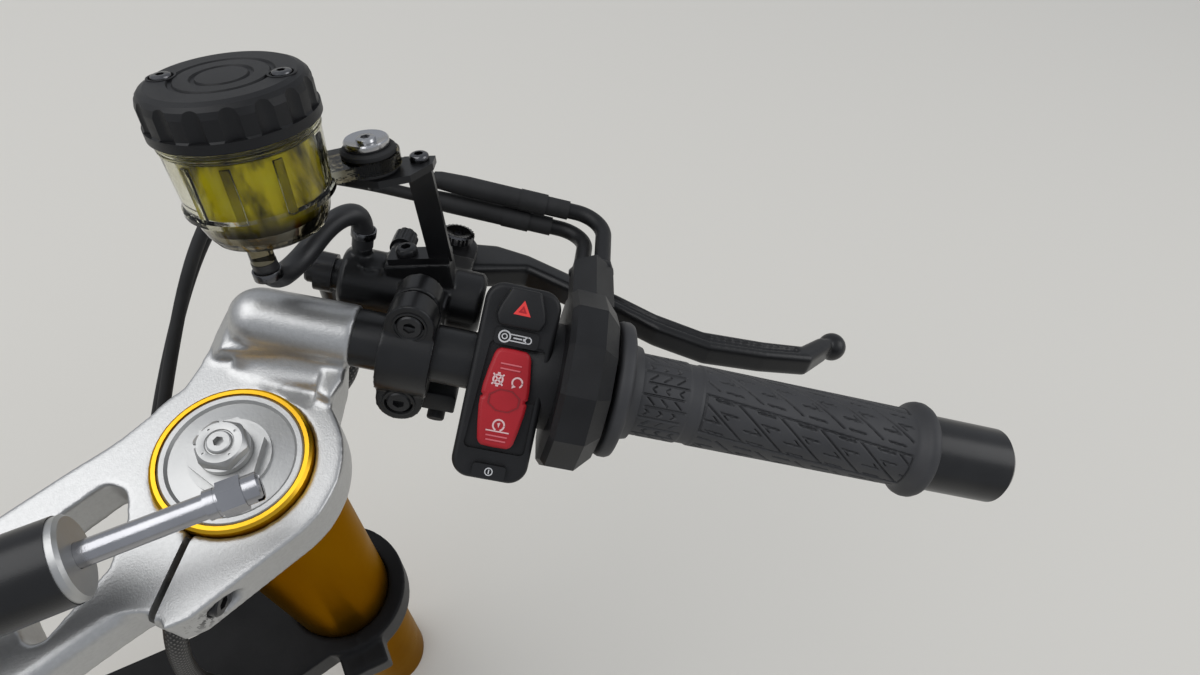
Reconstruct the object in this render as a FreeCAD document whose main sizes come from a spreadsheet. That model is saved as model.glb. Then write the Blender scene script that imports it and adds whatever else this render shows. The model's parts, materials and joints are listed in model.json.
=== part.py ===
import FreeCAD, Part
import math
import os
import Sketcher

from FreeCAD import Placement, Rotation, Vector

# The steering top of a sport motorcycle: two yokes, fork outer tubes, handlebar,
# levers, switches, brake fluid reservoir and steering damper.
# Millimetres and degrees. X is to the rider's right, Y forward, Z up along the
# steering axis. The origin is on the steering axis at the top yoke's upper face.

# Driving sizes

SIZES = {
    # top yoke
    "yoke_thickness": 20,
    "stem_bore_radius": 14,
    "stem_boss_radius": 27,
    "fork_offset": 100,
    "fork_forward": 30,
    "yoke_clamp_radius": 36.5,
    "yoke_edge": 2,
    "yoke_slope_width": 9,
    "yoke_slope_depth": 2.6,
    "window_corner": 4,
    "slit_width": 2,
    "slit_inset": 4.5,
    # bosses that the bars push onto
    "boss_radius": 12.2,
    "boss_small_radius": 11.4,
    "boss_straight": 34,
    "boss_nose": 12,
    "boss_seat": 9,
    "spigot_length": 22,
    "spigot_clearance": 0.05,
    "scoop_radius": 9,
    "scoop_back": 18.7,
    "scoop_drop": 10.5,
    "scoop_start": 36,
    "scoop_length": 27,
    # pinch bolts
    "pinch_radius": 3,
    "pinch_head_radius": 4.8,
    "pinch_head_height": 5,
    "pinch_pocket_radius": 5.4,
    "pinch_level": 10,
    "pinch_seat": 11,
    "pinch_depth": 14,
    "bolt_clearance": 0.15,
    # fork tubes and caps
    "fork_radius": 26.6,
    "fork_stand": 4,
    "fork_length": 434,
    "fork_bore_radius": 22,
    "tube_edge": 1,
    "cap_radius": 24.2,
    "cap_depth": 18,
    "cap_rim": 2.6,
    "cap_dish": 1,
    "cap_washer_radius": 13.6,
    "cap_washer_height": 1.6,
    "cap_hex_radius": 12.6,
    "cap_hex_height": 4,
    "adjuster_radius": 9,
    "adjuster_hex_radius": 10.6,
    "adjuster_height": 7.5,
    "adjuster_hex_height": 4.5,
    "adjuster_ring_radius": 4.4,
    "adjuster_ring_height": 1.2,
    "adjuster_socket_radius": 2.6,
    "adjuster_socket_depth": 4,
    # lower yoke
    "lower_yoke_level": 200,
    "lower_yoke_thickness": 30,
    "lower_clamp_radius": 36,
    "lower_edge": 3,
    # handlebar
    "bar_right_of_fork": 52.6,
    "bar_ahead_of_fork": 27.7,
    "bar_start_up": 7,
    "bar_sweep": 32.2,
    "bar_droop": 7.4,
    "bar_radius": 11.1,
    "bar_wall": 2,
    "bar_length": 262,
    "bar_end_radius": 15.8,
    "bar_end_cover": 28,
    "bar_end_length": 35,
    "bar_end_edge": 2,
    "bar_end_shell": 1.3,
    "bar_end_gap": 0.3,
    "bar_plug_length": 30,
    # grips and throttle
    "grip_radius": 16.4,
    "grip_clearance": 0.06,
    "grip_flange_radius": 27,
    "grip_flange_width": 6,
    "grip_neck_radius": 19,
    "grip_neck_width": 8,
    "grip_end_flange_radius": 20,
    "grip_end_flange_width": 5,
    "grip_end_gap": 1.4,
    "throttle_gap": 4,
    "throttle_width": 19,
    "throttle_radius": 35.5,
    "throttle_bevel": 6,
    "tower_radius": 9.8,
    "tower_up": 21,
    "tower_back": 18,
    "tower_forward": 48,
    "elbow_radius": 3.6,
    "boot_radius": 4.9,
    "boot_length": 49,
    "boot_lap": 13,
    "cable_spread": 5,
    # clamps
    "lever_tilt": 24,
    "clamp_start": 10.6,
    "clamp_width": 19.2,
    "clamp_radius": 17.5,
    "clamp_gap": 0.6,
    "clamp_bolt_spread": 18,
    "clamp_lug_radius": 8.8,
    "clamp_lug_reach": 11.5,
    "clamp_bolt_radius": 2.9,
    "clamp_head_radius": 4.7,
    "clamp_head_height": 4,
    "clamp_pocket_radius": 5.3,
    "clamp_pocket_depth": 3.5,
    # cylinders and levers
    "master_start": -14,
    "master_stop": 43.6,
    "master_radius": 13,
    "master_edge": 2,
    "master_forward": 34,
    "master_up": 3,
    "master_neck_low": -8,
    "master_neck_high": 12,
    "turret_radius": 5,
    "turret_height": 14.5,
    "turret_along": -3,
    "turret_forward": 30,
    "pivot_along": 26,
    "pivot_forward": 75,
    "pivot_radius": 3,
    "pivot_head_radius": 6,
    "pivot_head_height": 2.5,
    "lever_up": -5,
    "lever_thickness": 12,
    "lever_edge": 3,
    "lever_ball_radius": 7,
    "lever_bore_clearance": 0.03,
    "groove_depth": 1.6,
    "ear_thickness": 4,
    "ear_radius": 10,
    "ear_gap": 0.3,
    "lever_root_gap": 19,
    "knob_radius": 5,
    "knob_along": 6,
    "knob_up": 13,
    "knob_start": 47.2,
    "knob_length": 11,
    # switches
    "pod_gap": 14.2,
    "pod_width": 28,
    "pod_height": 72,
    "pod_depth": 36,
    "pod_corner": 7,
    "pod_edge": 2,
    "pod_back": 16,
    "pod_drop": -4,
    "pod_dish": 1.5,
    "rocker_stand": 5,
    "button_stand": 2.5,
    # brake fluid reservoir
    "cap_forward": -11,
    "cap_up": 80.5,
    "cap_along": -38.2,
    "reservoir_lean": 16.7,
    "reservoir_rake": 2.3,
    "reservoir_cap_radius": 25,
    "reservoir_cap_height": 13.5,
    "reservoir_cap_band": 3,
    "reservoir_cap_dome": 4,
    "flute_radius": 4.2,
    "flute_depth": 1.6,
    "flute_count": 16,
    "cap_screw_radius": 3.4,
    "cap_screw_reach": 17.5,
    "reservoir_radius": 23.6,
    "reservoir_waist": 22.4,
    "reservoir_foot_radius": 19.4,
    "reservoir_height": 37,
    "reservoir_step": 23,
    "reservoir_wall": 2,
    "fluid_gap": 0.1,
    "fluid_drop": 5,
    "nipple_radius": 4,
    "nipple_length": 12,
    "nipple_left": 7,
    "hose_radius": 4.2,
    "hose_inlet_along": -7.4,
    "hose_inlet_up": 19,
    "ear_out": 30.2,
    "ear_ahead": 20.5,
    "ear_level": -27,
    "grommet_radius": 9.2,
    "grommet_groove": 2.6,
    "grommet_height": 8.6,
    "washer_height": 1.4,
    "ear_bolt_radius": 3,
    "bracket_plate": 2.5,
    "bracket_foot_level": -74,
    # brake hose and throttle cables
    "brake_hose_radius": 4.4,
    "cable_radius": 2.75,
    "banjo_offset": 6.5,
    "banjo_neck_radius": 5.2,
    "banjo_neck": 20,
    # steering damper
    "damper_forward": 5.6,
    "damper_up": 27,
    "damper_radius": 13.5,
    "damper_right": 58.5,
    "damper_length": 150,
    "damper_cap_width": 3,
    "damper_cap_step": 0.4,
    "damper_wall": 2,
    "rod_radius": 4,
    "rod_right": 110,
    "rod_left": -150,
    "rod_gap": 0.06,
    "rod_collar_radius": 4.8,
    "rod_hex_radius": 5.8,
    "rod_tip_radius": 4.6,
    "rod_slot": 2,
    "damper_clamp_left": -27,
    "damper_clamp_width": 12,
    "damper_clamp_wall": 4,
    "damper_foot_half": 14,
}

doc = FreeCAD.newDocument("steering_top")
sheet = doc.addObject("Spreadsheet::Sheet", "Sizes")
for row, (alias, value) in enumerate(SIZES.items(), start=1):
    sheet.set(f"A{row}", alias)
    sheet.set(f"B{row}", str(value))
    sheet.setAlias(f"B{row}", alias)
doc.recompute()


class Size:
    # a number together with the sheet expression that gives it

    def __init__(self, number, text):
        self.number = number
        self.text = text

    def __add__(self, other):
        other = as_size(other)
        return Size(self.number + other.number, f"({self.text} + {other.text})")

    def __sub__(self, other):
        other = as_size(other)
        return Size(self.number - other.number, f"({self.text} - {other.text})")

    def __mul__(self, other):
        other = as_size(other)
        return Size(self.number * other.number, f"({self.text} * {other.text})")

    def __truediv__(self, other):
        other = as_size(other)
        return Size(self.number / other.number, f"({self.text} / {other.text})")

    def __radd__(self, other):
        return as_size(other) + self

    def __rsub__(self, other):
        return as_size(other) - self

    def __rmul__(self, other):
        return as_size(other) * self

    def __neg__(self):
        return Size(-self.number, f"(-1 * {self.text})")


def as_size(value):
    if isinstance(value, Size):
        return value
    return Size(float(value), repr(float(value)))


class Sizes:
    # every driving size by its name

    def __getattr__(self, name):
        return Size(float(SIZES[name]), f"Sizes.{name}")


size = Sizes()


def num(value):
    return as_size(value).number


# Building helpers

SUBPARTS = []
ACROSS = Rotation(Vector(0, 1, 0), 90)
# how far a cut runs past the faces that it opens
PAST = 5


def new_body(label, place=Placement()):
    body = doc.addObject("PartDesign::Body", label)
    body.Label = label
    body.Placement = place
    SUBPARTS.append(body)
    return body


def new_sketch(body, plane, height=0):
    sketch = body.newObject("Sketcher::SketchObject", "Outline")
    base = next(item for item in body.Origin.OriginFeatures if item.Role == plane)
    sketch.AttachmentSupport = [(base, "")]
    sketch.MapMode = "FlatFace"
    if isinstance(height, Size):
        sketch.setExpression("AttachmentOffset.Base.z", height.text)
    elif height:
        sketch.AttachmentOffset = Placement(Vector(0, 0, height), Rotation())
    return sketch


def fix(sketch, kind, geometry, point, value):
    wanted = as_size(value)
    if wanted.number == 0 and not isinstance(value, Size):
        axis = -2 if kind == "DistanceX" else -1
        sketch.addConstraint(Sketcher.Constraint("PointOnObject", geometry, point, axis))
        return
    index = sketch.addConstraint(Sketcher.Constraint(kind, geometry, point, wanted.number))
    if isinstance(value, Size):
        sketch.setExpression(f"Constraints[{index}]", wanted.text)


def draw(sketch, points):
    first = sketch.GeometryCount
    count = len(points)
    for start, end in zip(points, points[1:] + points[:1]):
        sketch.addGeometry(Part.LineSegment(
            Vector(num(start[0]), num(start[1]), 0),
            Vector(num(end[0]), num(end[1]), 0)))
    for index in range(count):
        following = first + (index + 1) % count
        sketch.addConstraint(Sketcher.Constraint("Coincident", first + index, 2, following, 1))
    for index, (across, up) in enumerate(points):
        fix(sketch, "DistanceX", first + index, 1, across)
        fix(sketch, "DistanceY", first + index, 1, up)


def circle(sketch, centre, radius):
    index = sketch.addGeometry(Part.Circle(
        Vector(num(centre[0]), num(centre[1]), 0), Vector(0, 0, 1), num(radius)))
    fix(sketch, "DistanceX", index, 3, centre[0])
    fix(sketch, "DistanceY", index, 3, centre[1])
    entry = sketch.addConstraint(Sketcher.Constraint("Radius", index, num(radius)))
    if isinstance(radius, Size):
        sketch.setExpression(f"Constraints[{entry}]", radius.text)


def bind(feature, name, value):
    setattr(feature, name, num(value))
    if isinstance(value, Size):
        feature.setExpression(name, value.text)


def pad(body, sketch, length):
    feature = body.newObject("PartDesign::Pad", "Pad")
    feature.Profile = sketch
    bind(feature, "Length", length)
    return feature


def pocket(body, sketch, length):
    # a cut that runs up from the sketch
    feature = body.newObject("PartDesign::Pocket", "Pocket")
    feature.Profile = sketch
    feature.Reversed = True
    bind(feature, "Length", length)
    return feature


def pad_outline(body, points, height, length):
    sketch = new_sketch(body, "XY_Plane", height)
    draw(sketch, points)
    return pad(body, sketch, length)


def pad_circle(body, centre, radius, height, length):
    sketch = new_sketch(body, "XY_Plane", height)
    circle(sketch, centre, radius)
    return pad(body, sketch, length)


def cut_circle(body, centre, radius, height, length):
    sketch = new_sketch(body, "XY_Plane", height)
    circle(sketch, centre, radius)
    return pocket(body, sketch, length)


def cut_outline(body, points, height, length):
    sketch = new_sketch(body, "XY_Plane", height)
    draw(sketch, points)
    return pocket(body, sketch, length)


def turned(label, place, points):
    # a body of revolution about its own Z, from points of radius and height
    body = new_body(label, place)
    turn(body, points)
    return body


def turn(body, points):
    sketch = new_sketch(body, "XZ_Plane")
    draw(sketch, points)
    feature = body.newObject("PartDesign::Revolution", "Revolution")
    feature.Profile = sketch
    feature.ReferenceAxis = (sketch, ["V_Axis"])
    feature.Angle = 360
    return feature


def groove(body, points):
    sketch = new_sketch(body, "XZ_Plane")
    draw(sketch, points)
    feature = body.newObject("PartDesign::Groove", "Groove")
    feature.Profile = sketch
    feature.ReferenceAxis = (sketch, ["V_Axis"])
    feature.Angle = 360
    return feature


def round_shape(body, kind, place, **values):
    # an added or cut primitive: Cylinder, Cone, Sphere, Ellipsoid, Prism or Box
    feature = body.newObject(f"PartDesign::{kind}", kind)
    for name, value in values.items():
        bind(feature, name, value)
    feature.Placement = place
    return feature


def repeat_round(body, feature, sketch, count):
    pattern = body.newObject("PartDesign::PolarPattern", "Pattern")
    pattern.Originals = [feature]
    pattern.Axis = (sketch, ["N_Axis"])
    pattern.Angle = 360
    pattern.Occurrences = int(num(count))
    if isinstance(count, Size):
        pattern.setExpression("Occurrences", count.text)
    body.Tip = pattern
    return pattern


def ring_points(inner, outer, low, high):
    return [(inner, low), (outer, low), (outer, high), (inner, high)]


def polygon(count, radius, centre=(0, 0)):
    corners = []
    for index in range(count):
        angle = math.radians(360 * index / count)
        corners.append((centre[0] + radius * math.cos(angle), centre[1] + radius * math.sin(angle)))
    return corners


def box_points(left, right, low, high):
    return [(left, low), (right, low), (right, high), (left, high)]


def edge_names(body, wanted):
    doc.recompute()
    found = []
    for index, edge in enumerate(body.Tip.Shape.Edges, start=1):
        if wanted(edge):
            found.append(f"Edge{index}")
    return found


def round_edges(body, radius, wanted):
    names = edge_names(body, wanted)
    base = body.Tip
    feature = body.newObject("PartDesign::Fillet", "Fillet")
    feature.Base = (base, names)
    bind(feature, "Radius", radius)
    return feature


def bevel_edges(body, width, depth, wanted):
    names = edge_names(body, wanted)
    base = body.Tip
    feature = body.newObject("PartDesign::Chamfer", "Chamfer")
    feature.Base = (base, names)
    feature.ChamferType = "Two distances"
    bind(feature, "Size", width)
    bind(feature, "Size2", depth)
    return feature


def close(first, second):
    return abs(num(first) - num(second)) < 0.01


def upright(edge):
    # an edge along the body's own Z
    if len(edge.Vertexes) < 2:
        return False
    start = edge.Vertexes[0].Point
    end = edge.Vertexes[-1].Point
    return abs(abs(start.z - end.z) - edge.Length) < 1e-4


def upright_near(*places):
    def wanted(edge):
        if not upright(edge):
            return False
        corner = edge.Vertexes[0].Point
        return any(math.hypot(corner.x - num(x), corner.y - num(y)) < 0.5 for x, y in places)
    return wanted


def at_level(*levels):
    # every edge that lies flat at one of the levels
    def wanted(edge):
        box = edge.BoundBox
        return any(close(box.ZMin, level) and close(box.ZMax, level) for level in levels)
    return wanted


def tube(label, route, radius):
    # a bent tube: straight runs joined by tangent arcs
    radius = num(radius)
    points = [Vector(*point) for point in route]
    runs = [points[i + 1].sub(points[i]).Length for i in range(len(points) - 1)]
    edges = []
    last = points[0]
    for index in range(1, len(points) - 1):
        before = points[index - 1].sub(points[index]).normalize()
        after = points[index + 1].sub(points[index]).normalize()
        turn_angle = math.pi - before.getAngle(after)
        trim = 0.45 * min(runs[index - 1], runs[index])
        bend = trim / math.tan(turn_angle / 2)
        start = points[index].add(before * trim)
        end = points[index].add(after * trim)
        middle_way = before.add(after).normalize()
        middle = points[index].add(middle_way * (math.hypot(bend, trim) - bend))
        edges.append(Part.LineSegment(last, start).toShape())
        edges.append(Part.Arc(start, middle, end).toShape())
        print(label, "bend radius", round(bend, 1), "turn", round(math.degrees(turn_angle)))
        last = end
    edges.append(Part.LineSegment(last, points[-1]).toShape())
    path = Part.Wire(edges)
    heading = points[1].sub(points[0])
    profile = Part.Wire([Part.Circle(points[0], heading, radius).toShape()])
    item = doc.addObject("Part::Feature", label)
    item.Label = label
    item.Shape = path.makePipeShell([profile], True, False)
    item.Placement = Placement()
    SUBPARTS.append(item)
    return item


# Frames along the bar

SIDES = {"right": 1, "left": -1}


def bar_start(side):
    return Vector(
        side * num(size.fork_offset + size.bar_right_of_fork),
        num(size.fork_forward + size.bar_ahead_of_fork),
        num(size.bar_start_up))


def bar_frame(side):
    # forward, up and outward directions of one side's bar
    sweep = math.radians(num(size.bar_sweep))
    droop = math.radians(num(size.bar_droop))
    tilt = math.radians(num(size.lever_tilt))
    outward = Vector(
        side * math.cos(droop) * math.cos(sweep),
        -math.cos(droop) * math.sin(sweep),
        -math.sin(droop))
    level = Vector(side * math.sin(sweep), math.cos(sweep), 0)
    above = outward.cross(level) * side
    forward = level * math.cos(tilt) - above * math.sin(tilt)
    up = level * math.sin(tilt) + above * math.cos(tilt)
    return forward, up, outward


def spot(side, forward, up, along):
    ahead, above, outward = bar_frame(side)
    return bar_start(side) + ahead * num(forward) + above * num(up) + outward * num(along)


def along_bar(side, forward=0, up=0, along=0):
    # local Z outward along the bar, local X forward, local Y up times side
    ahead, above, outward = bar_frame(side)
    return Placement(spot(side, forward, up, along), Rotation(ahead, above * side, outward, "ZXY"))


def on_lever_plane(side, forward=0, up=0, along=0):
    # local X outward, local Y forward, local Z up times side
    ahead, above, outward = bar_frame(side)
    return Placement(spot(side, forward, up, along), Rotation(outward, ahead, above * side, "ZXY"))


def across_bar(side, forward=0, up=0, along=0):
    # local Z up, local X outward, local Y forward times side
    ahead, above, outward = bar_frame(side)
    return Placement(spot(side, forward, up, along), Rotation(outward, ahead * side, above, "ZXY"))


def ahead_of_bar(side, forward=0, up=0, along=0):
    # local Z forward, local X up, local Y outward times side
    ahead, above, outward = bar_frame(side)
    return Placement(spot(side, forward, up, along), Rotation(above, outward * side, ahead, "ZXY"))


def within(body, place):
    # a place of the whole part, as seen from the body
    return body.Placement.inverse().multiply(place)


def along_x(x=0, y=0, height=0):
    return Placement(Vector(num(x), num(y), num(height)), ACROSS)


def by_fork(x, y):
    return size.fork_offset + x, size.fork_forward + y


def mirrored(side, points):
    return [(side * as_size(x), y) for x, y in points]


# Top yoke

# the front edge of an arm, from the middle outwards, and its rear edge
ARM_FRONT = [(14, 38), (29, 44)]
ARM_FRONT_BY_FORK = [(-51, 20.7), (-21, 29.5), (-7, 36)]
ARM_REAR = [(20, -19), (37, -14), (49, -10.5)]
ARM_REAR_BY_FORK = [(-40, -37.6)]
# the pinch lug, whose outer edge runs on as a tangent of the clamp
LUG = [(-33.5, -40), (-32.5, -46.5), (-25, -46.5), (12, -34.4), (4, 0)]
WINDOW = [(31, -5), (36, -4), (51, 6.5), (56, 10), (64, 24), (65.5, 34), (60, 39), (36, 30), (27, 12)]
# the web between a fork clamp and its bar boss, the part of it that rises under the boss,
# and the rib that closes the hollow behind the boss at its outer end
BOSS_WEB = [(-24, 27), (-12, 33), (-3, 42), (5, 52), (12, 58), (47, 32), (43, 20), (34, 4)]
BOSS_RISE = [(3, 42), (5, 52), (13, 59), (22, 60), (47, 44), (52, 34), (44, 22)]
BOSS_RIB = [(30, 16), (38, 22), (46, 30), (47.5, 24), (43, 14), (36, 8)]


def arm_outline():
    half = ARM_REAR + [by_fork(*point) for point in ARM_REAR_BY_FORK + LUG]
    half += [by_fork(*point) for point in reversed(ARM_FRONT_BY_FORK)] + ARM_FRONT[::-1]
    return half + [(-1 * as_size(x), y) for x, y in reversed(half)]


def front_edge(edge):
    # the straight upper front edges of the two arms
    if len(edge.Vertexes) != 2 or not at_level(0)(edge):
        return False
    ends = [vertex.Point for vertex in edge.Vertexes]
    inner = ARM_FRONT[0]
    outer = by_fork(*ARM_FRONT_BY_FORK[1])
    for end in ends:
        if end.y < num(inner[1]) - 1 or not num(inner[0]) - 1 < abs(end.x) < num(outer[0]) + 1:
            return False
    return ends[0].x * ends[1].x > 0


def rear_edge(edge):
    if len(edge.Vertexes) != 2 or not at_level(0)(edge):
        return False
    ends = [vertex.Point for vertex in edge.Vertexes]
    outer = by_fork(*ARM_REAR_BY_FORK[0])
    return all(end.y < num(outer[1]) + 1 and abs(end.x) < num(outer[0]) + 1 for end in ends)


def make_top_yoke():
    body = new_body("top_yoke")
    thick = size.yoke_thickness
    through = thick + 2 * PAST
    below = -thick - PAST
    pad_outline(body, arm_outline(), -thick, thick)
    bevel_edges(body, size.yoke_slope_width, size.yoke_slope_depth, front_edge)
    round_edges(body, size.yoke_edge * 2.5, rear_edge)
    pad_circle(body, (0, 0), size.stem_boss_radius, -thick, thick)
    for side in SIDES.values():
        fork = (side * size.fork_offset, size.fork_forward)
        pad_circle(body, fork, size.yoke_clamp_radius, -thick, thick)
        pad_outline(body, mirrored(side, [by_fork(*point) for point in BOSS_WEB]), -thick, thick)
        rise = mirrored(side, [by_fork(*point) for point in BOSS_RISE])
        pad_outline(body, rise, 0, size.boss_seat)
        rib = mirrored(side, [by_fork(*point) for point in BOSS_RIB])
        pad_outline(body, rib, 0, size.boss_seat / 2)
        add_boss(body, side)
    for side in SIDES.values():
        fork = (side * size.fork_offset, size.fork_forward)
        cut_circle(body, fork, size.fork_radius, below, through + size.bar_start_up + PAST)
        cut_outline(body, mirrored(side, WINDOW), below, through)
        cut_outline(body, slit_points(side), below, through)
        cut_pinch_bore(body, side)
    cut_circle(body, (0, 0), size.stem_bore_radius, below, through)
    windows = mirrored(1, WINDOW) + mirrored(-1, WINDOW)
    round_edges(body, size.window_corner, upright_near(*windows))
    return body


def add_boss(body, side):
    # a tapered boss with a blunt nose, and the spigot that the bar is pushed onto
    straight = size.boss_straight
    round_shape(body, "AdditiveCone", along_bar(side, along=-straight),
                Radius1=size.boss_small_radius, Radius2=size.boss_radius, Height=straight)
    round_shape(body, "AdditiveEllipsoid", along_bar(side, along=-straight),
                Radius1=size.boss_nose, Radius2=size.boss_small_radius)
    round_shape(body, "AdditiveCylinder", along_bar(side, along=-straight),
                Radius=size.bar_radius - size.bar_wall - size.spigot_clearance,
                Height=straight + size.spigot_length)
    round_shape(body, "SubtractiveCylinder",
                along_bar(side, -size.scoop_back, -size.scoop_drop, -size.scoop_start),
                Radius=size.scoop_radius, Height=size.scoop_length)


# the directions of the slit, from the fork outwards, and of the pinch bolt, out of its lug
SLIT_WAY = (-0.60, -0.80)
BOLT_WAY = (0.80, -0.60)
SLIT_REACH = (20, 62)
BOLT_REACH = 41.25


def slit_line(side, reach):
    x = num(size.fork_offset) - num(size.slit_inset) + SLIT_WAY[0] * reach
    return Vector(side * x, num(size.fork_forward) + SLIT_WAY[1] * reach, 0)


def slit_points(side):
    across = Vector(side * BOLT_WAY[0], BOLT_WAY[1], 0) * (num(size.slit_width) / 2)
    near, far = (slit_line(side, reach) for reach in SLIT_REACH)
    return [(corner.x, corner.y) for corner in (near + across, near - across, far - across, far + across)]


def pinch_place(side, out=0):
    way = Vector(side * BOLT_WAY[0], BOLT_WAY[1], 0)
    middle = slit_line(side, BOLT_REACH) - Vector(0, 0, num(size.pinch_level))
    return Placement(middle + way * num(out), Rotation(Vector(0, 0, 1), way))


def cut_pinch_bore(body, side):
    round_shape(body, "SubtractiveCylinder", pinch_place(side, -size.pinch_depth),
                Radius=size.pinch_radius + size.bolt_clearance, Height=size.pinch_depth + size.pinch_seat + PAST)
    round_shape(body, "SubtractiveCylinder", pinch_place(side, size.pinch_seat),
                Radius=size.pinch_pocket_radius, Height=3 * PAST)


def socket_bolt(label, place, radius, depth, head_radius, head_height):
    # a socket-head bolt whose head stands on its own XY plane
    body = turned(label, place, [
        (0, -depth), (radius, -depth), (radius, 0), (head_radius, 0),
        (head_radius, head_height - 0.6), (head_radius - 0.6, head_height), (0, head_height),
    ])
    cut_outline(body, polygon(6, head_radius / 2), head_height / 2, head_height)
    return body


# Lower yoke

LOWER_ARM = [(26, -22), (58, -8)]
LOWER_ARM_BY_FORK = [(-8, -31), (-8, 29), (-44, 22)]
LOWER_FRONT = (24, 38)
LOWER_LUG = [(-12, -48), (12, -48), (12, -20), (-12, -20)]


def make_lower_yoke():
    body = new_body("lower_yoke")
    top = -size.lower_yoke_level
    thick = size.lower_yoke_thickness
    half = LOWER_ARM + [by_fork(*point) for point in LOWER_ARM_BY_FORK] + [LOWER_FRONT]
    pad_outline(body, half + [(-1 * as_size(x), y) for x, y in reversed(half)], top - thick, thick)
    pad_circle(body, (0, 0), size.stem_boss_radius, top - thick, thick)
    for side in SIDES.values():
        fork = (side * size.fork_offset, size.fork_forward)
        pad_circle(body, fork, size.lower_clamp_radius, top - thick, thick)
        lug = mirrored(side, [by_fork(*point) for point in LOWER_LUG])
        pad_outline(body, lug, top - thick + size.lower_edge, thick - size.lower_edge * 2)
    for side in SIDES.values():
        fork = (side * size.fork_offset, size.fork_forward)
        cut_circle(body, fork, size.fork_radius, top - thick - PAST, thick + 2 * PAST)
        half_slit = size.slit_width / 2
        left, low = by_fork(-half_slit, -55)
        right, high = by_fork(half_slit, -20)
        slit = mirrored(side, box_points(left, right, low, high))
        cut_outline(body, slit, top - thick - PAST, thick + 2 * PAST)
    cut_circle(body, (0, 0), size.stem_bore_radius, top - thick - PAST, thick + 2 * PAST)
    return body


# Fork tubes, caps and adjusters

def fork_place(side):
    return Placement(Vector(side * num(size.fork_offset), num(size.fork_forward), 0), Rotation())


def make_fork(name, side):
    place = fork_place(side)
    top = size.fork_stand
    low = size.fork_stand - size.fork_length
    turned(f"fork_tube_{name}", place, [
        (size.fork_bore_radius, low),
        (size.fork_radius, low),
        (size.fork_radius, top - size.tube_edge),
        (size.fork_radius - size.tube_edge, top),
        (size.cap_radius, top),
        (size.cap_radius, top - size.cap_depth),
        (size.fork_bore_radius, top - size.cap_depth),
    ])
    rim = size.cap_radius - size.cap_rim
    washer = top + size.cap_washer_height
    cap = turned(f"fork_cap_{name}", place, [
        (0, top - size.cap_depth),
        (size.cap_radius, top - size.cap_depth),
        (size.cap_radius, top - size.tube_edge),
        (size.cap_radius - size.tube_edge, top),
        (rim, top),
        (rim - size.cap_dish, top - size.cap_dish),
        (size.cap_washer_radius, top),
        (size.cap_washer_radius, washer),
        (0, washer),
    ])
    pad_outline(cap, polygon(6, size.cap_hex_radius), washer, size.cap_hex_height)
    base = washer + size.cap_hex_height
    adjuster = new_body(f"fork_adjuster_{name}", place)
    head = base + size.adjuster_height
    hexagon = size.adjuster_hex_height
    pad_circle(adjuster, (0, 0), size.adjuster_radius, base, size.adjuster_height - hexagon)
    pad_outline(adjuster, polygon(6, size.adjuster_hex_radius), head - hexagon, hexagon)
    bevel_edges(adjuster, size.tube_edge * 1.6, size.tube_edge * 1.6, at_level(head))
    crown = head + size.adjuster_ring_height
    pad_circle(adjuster, (0, 0), size.adjuster_ring_radius, base, crown - base)
    cut_outline(adjuster, polygon(6, size.adjuster_socket_radius),
                crown - size.adjuster_socket_depth, size.adjuster_socket_depth + PAST)


# Handlebar and grips

def make_bar(name, side):
    place = along_bar(side)
    inner = size.bar_radius - size.bar_wall
    plug = inner - size.spigot_clearance
    end = size.bar_length
    start = end - size.bar_end_cover
    stop = start + size.bar_end_length
    sleeve = size.bar_radius + size.bar_end_shell
    turned(f"bar_tube_{name}", place, ring_points(inner, size.bar_radius, 0, end))
    turned(f"bar_end_{name}", place, [
        (0, end - size.bar_plug_length),
        (plug, end - size.bar_plug_length),
        (plug, end + size.bar_end_gap),
        (sleeve, end + size.bar_end_gap),
        (sleeve, start),
        (size.bar_end_radius, start),
        (size.bar_end_radius, stop - size.bar_end_edge),
        (size.bar_end_radius - size.bar_end_edge, stop),
        (0, stop),
    ])


def throttle_start():
    return size.clamp_start + size.clamp_width + size.pod_gap + size.pod_width + size.throttle_gap


def make_grip(name, side, bore):
    start = throttle_start() + size.throttle_width + size.bar_end_edge
    stop = size.bar_length - size.bar_end_cover - size.grip_end_gap
    flange = start + size.grip_flange_width
    neck = flange + size.grip_neck_width
    end_flange = stop - size.grip_end_flange_width
    step = size.bar_end_edge
    turned(f"grip_{name}", along_bar(side), [
        (bore, start),
        (size.grip_flange_radius - step, start),
        (size.grip_flange_radius, start + step),
        (size.grip_flange_radius, flange - step),
        (size.grip_flange_radius - step, flange),
        (size.grip_neck_radius, flange + step),
        (size.grip_neck_radius - step / 2, neck),
        (size.grip_radius, neck + step),
        (size.grip_radius, end_flange - step * 3),
        (size.grip_end_flange_radius - step, end_flange - step),
        (size.grip_end_flange_radius, end_flange),
        (size.grip_end_flange_radius, stop - step),
        (size.grip_end_flange_radius - step, stop),
        (bore, stop),
    ])


# Clamps and lever perches

def add_clamp_half(body, side, sign):
    # a half ring with a round lug above and below the bar, for the two bolts
    start = size.clamp_start
    pad_circle(body, (0, 0), size.clamp_radius, start, size.clamp_width)
    gap = size.clamp_gap * sign
    far = -3 * size.clamp_radius * sign
    span = 2 * size.clamp_radius
    cut_outline(body, box_points(gap, far, -span, span) if sign < 0 else box_points(far, gap, -span, span),
                start - PAST, size.clamp_width + 2 * PAST)
    reach = size.clamp_lug_reach
    near = size.clamp_gap if sign > 0 else -reach
    for up in (size.clamp_bolt_spread, -size.clamp_bolt_spread):
        round_shape(body, "AdditiveCylinder", within(body, clamp_bolt_place(side, up, near)),
                    Radius=size.clamp_lug_radius, Height=reach - size.clamp_gap)


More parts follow.
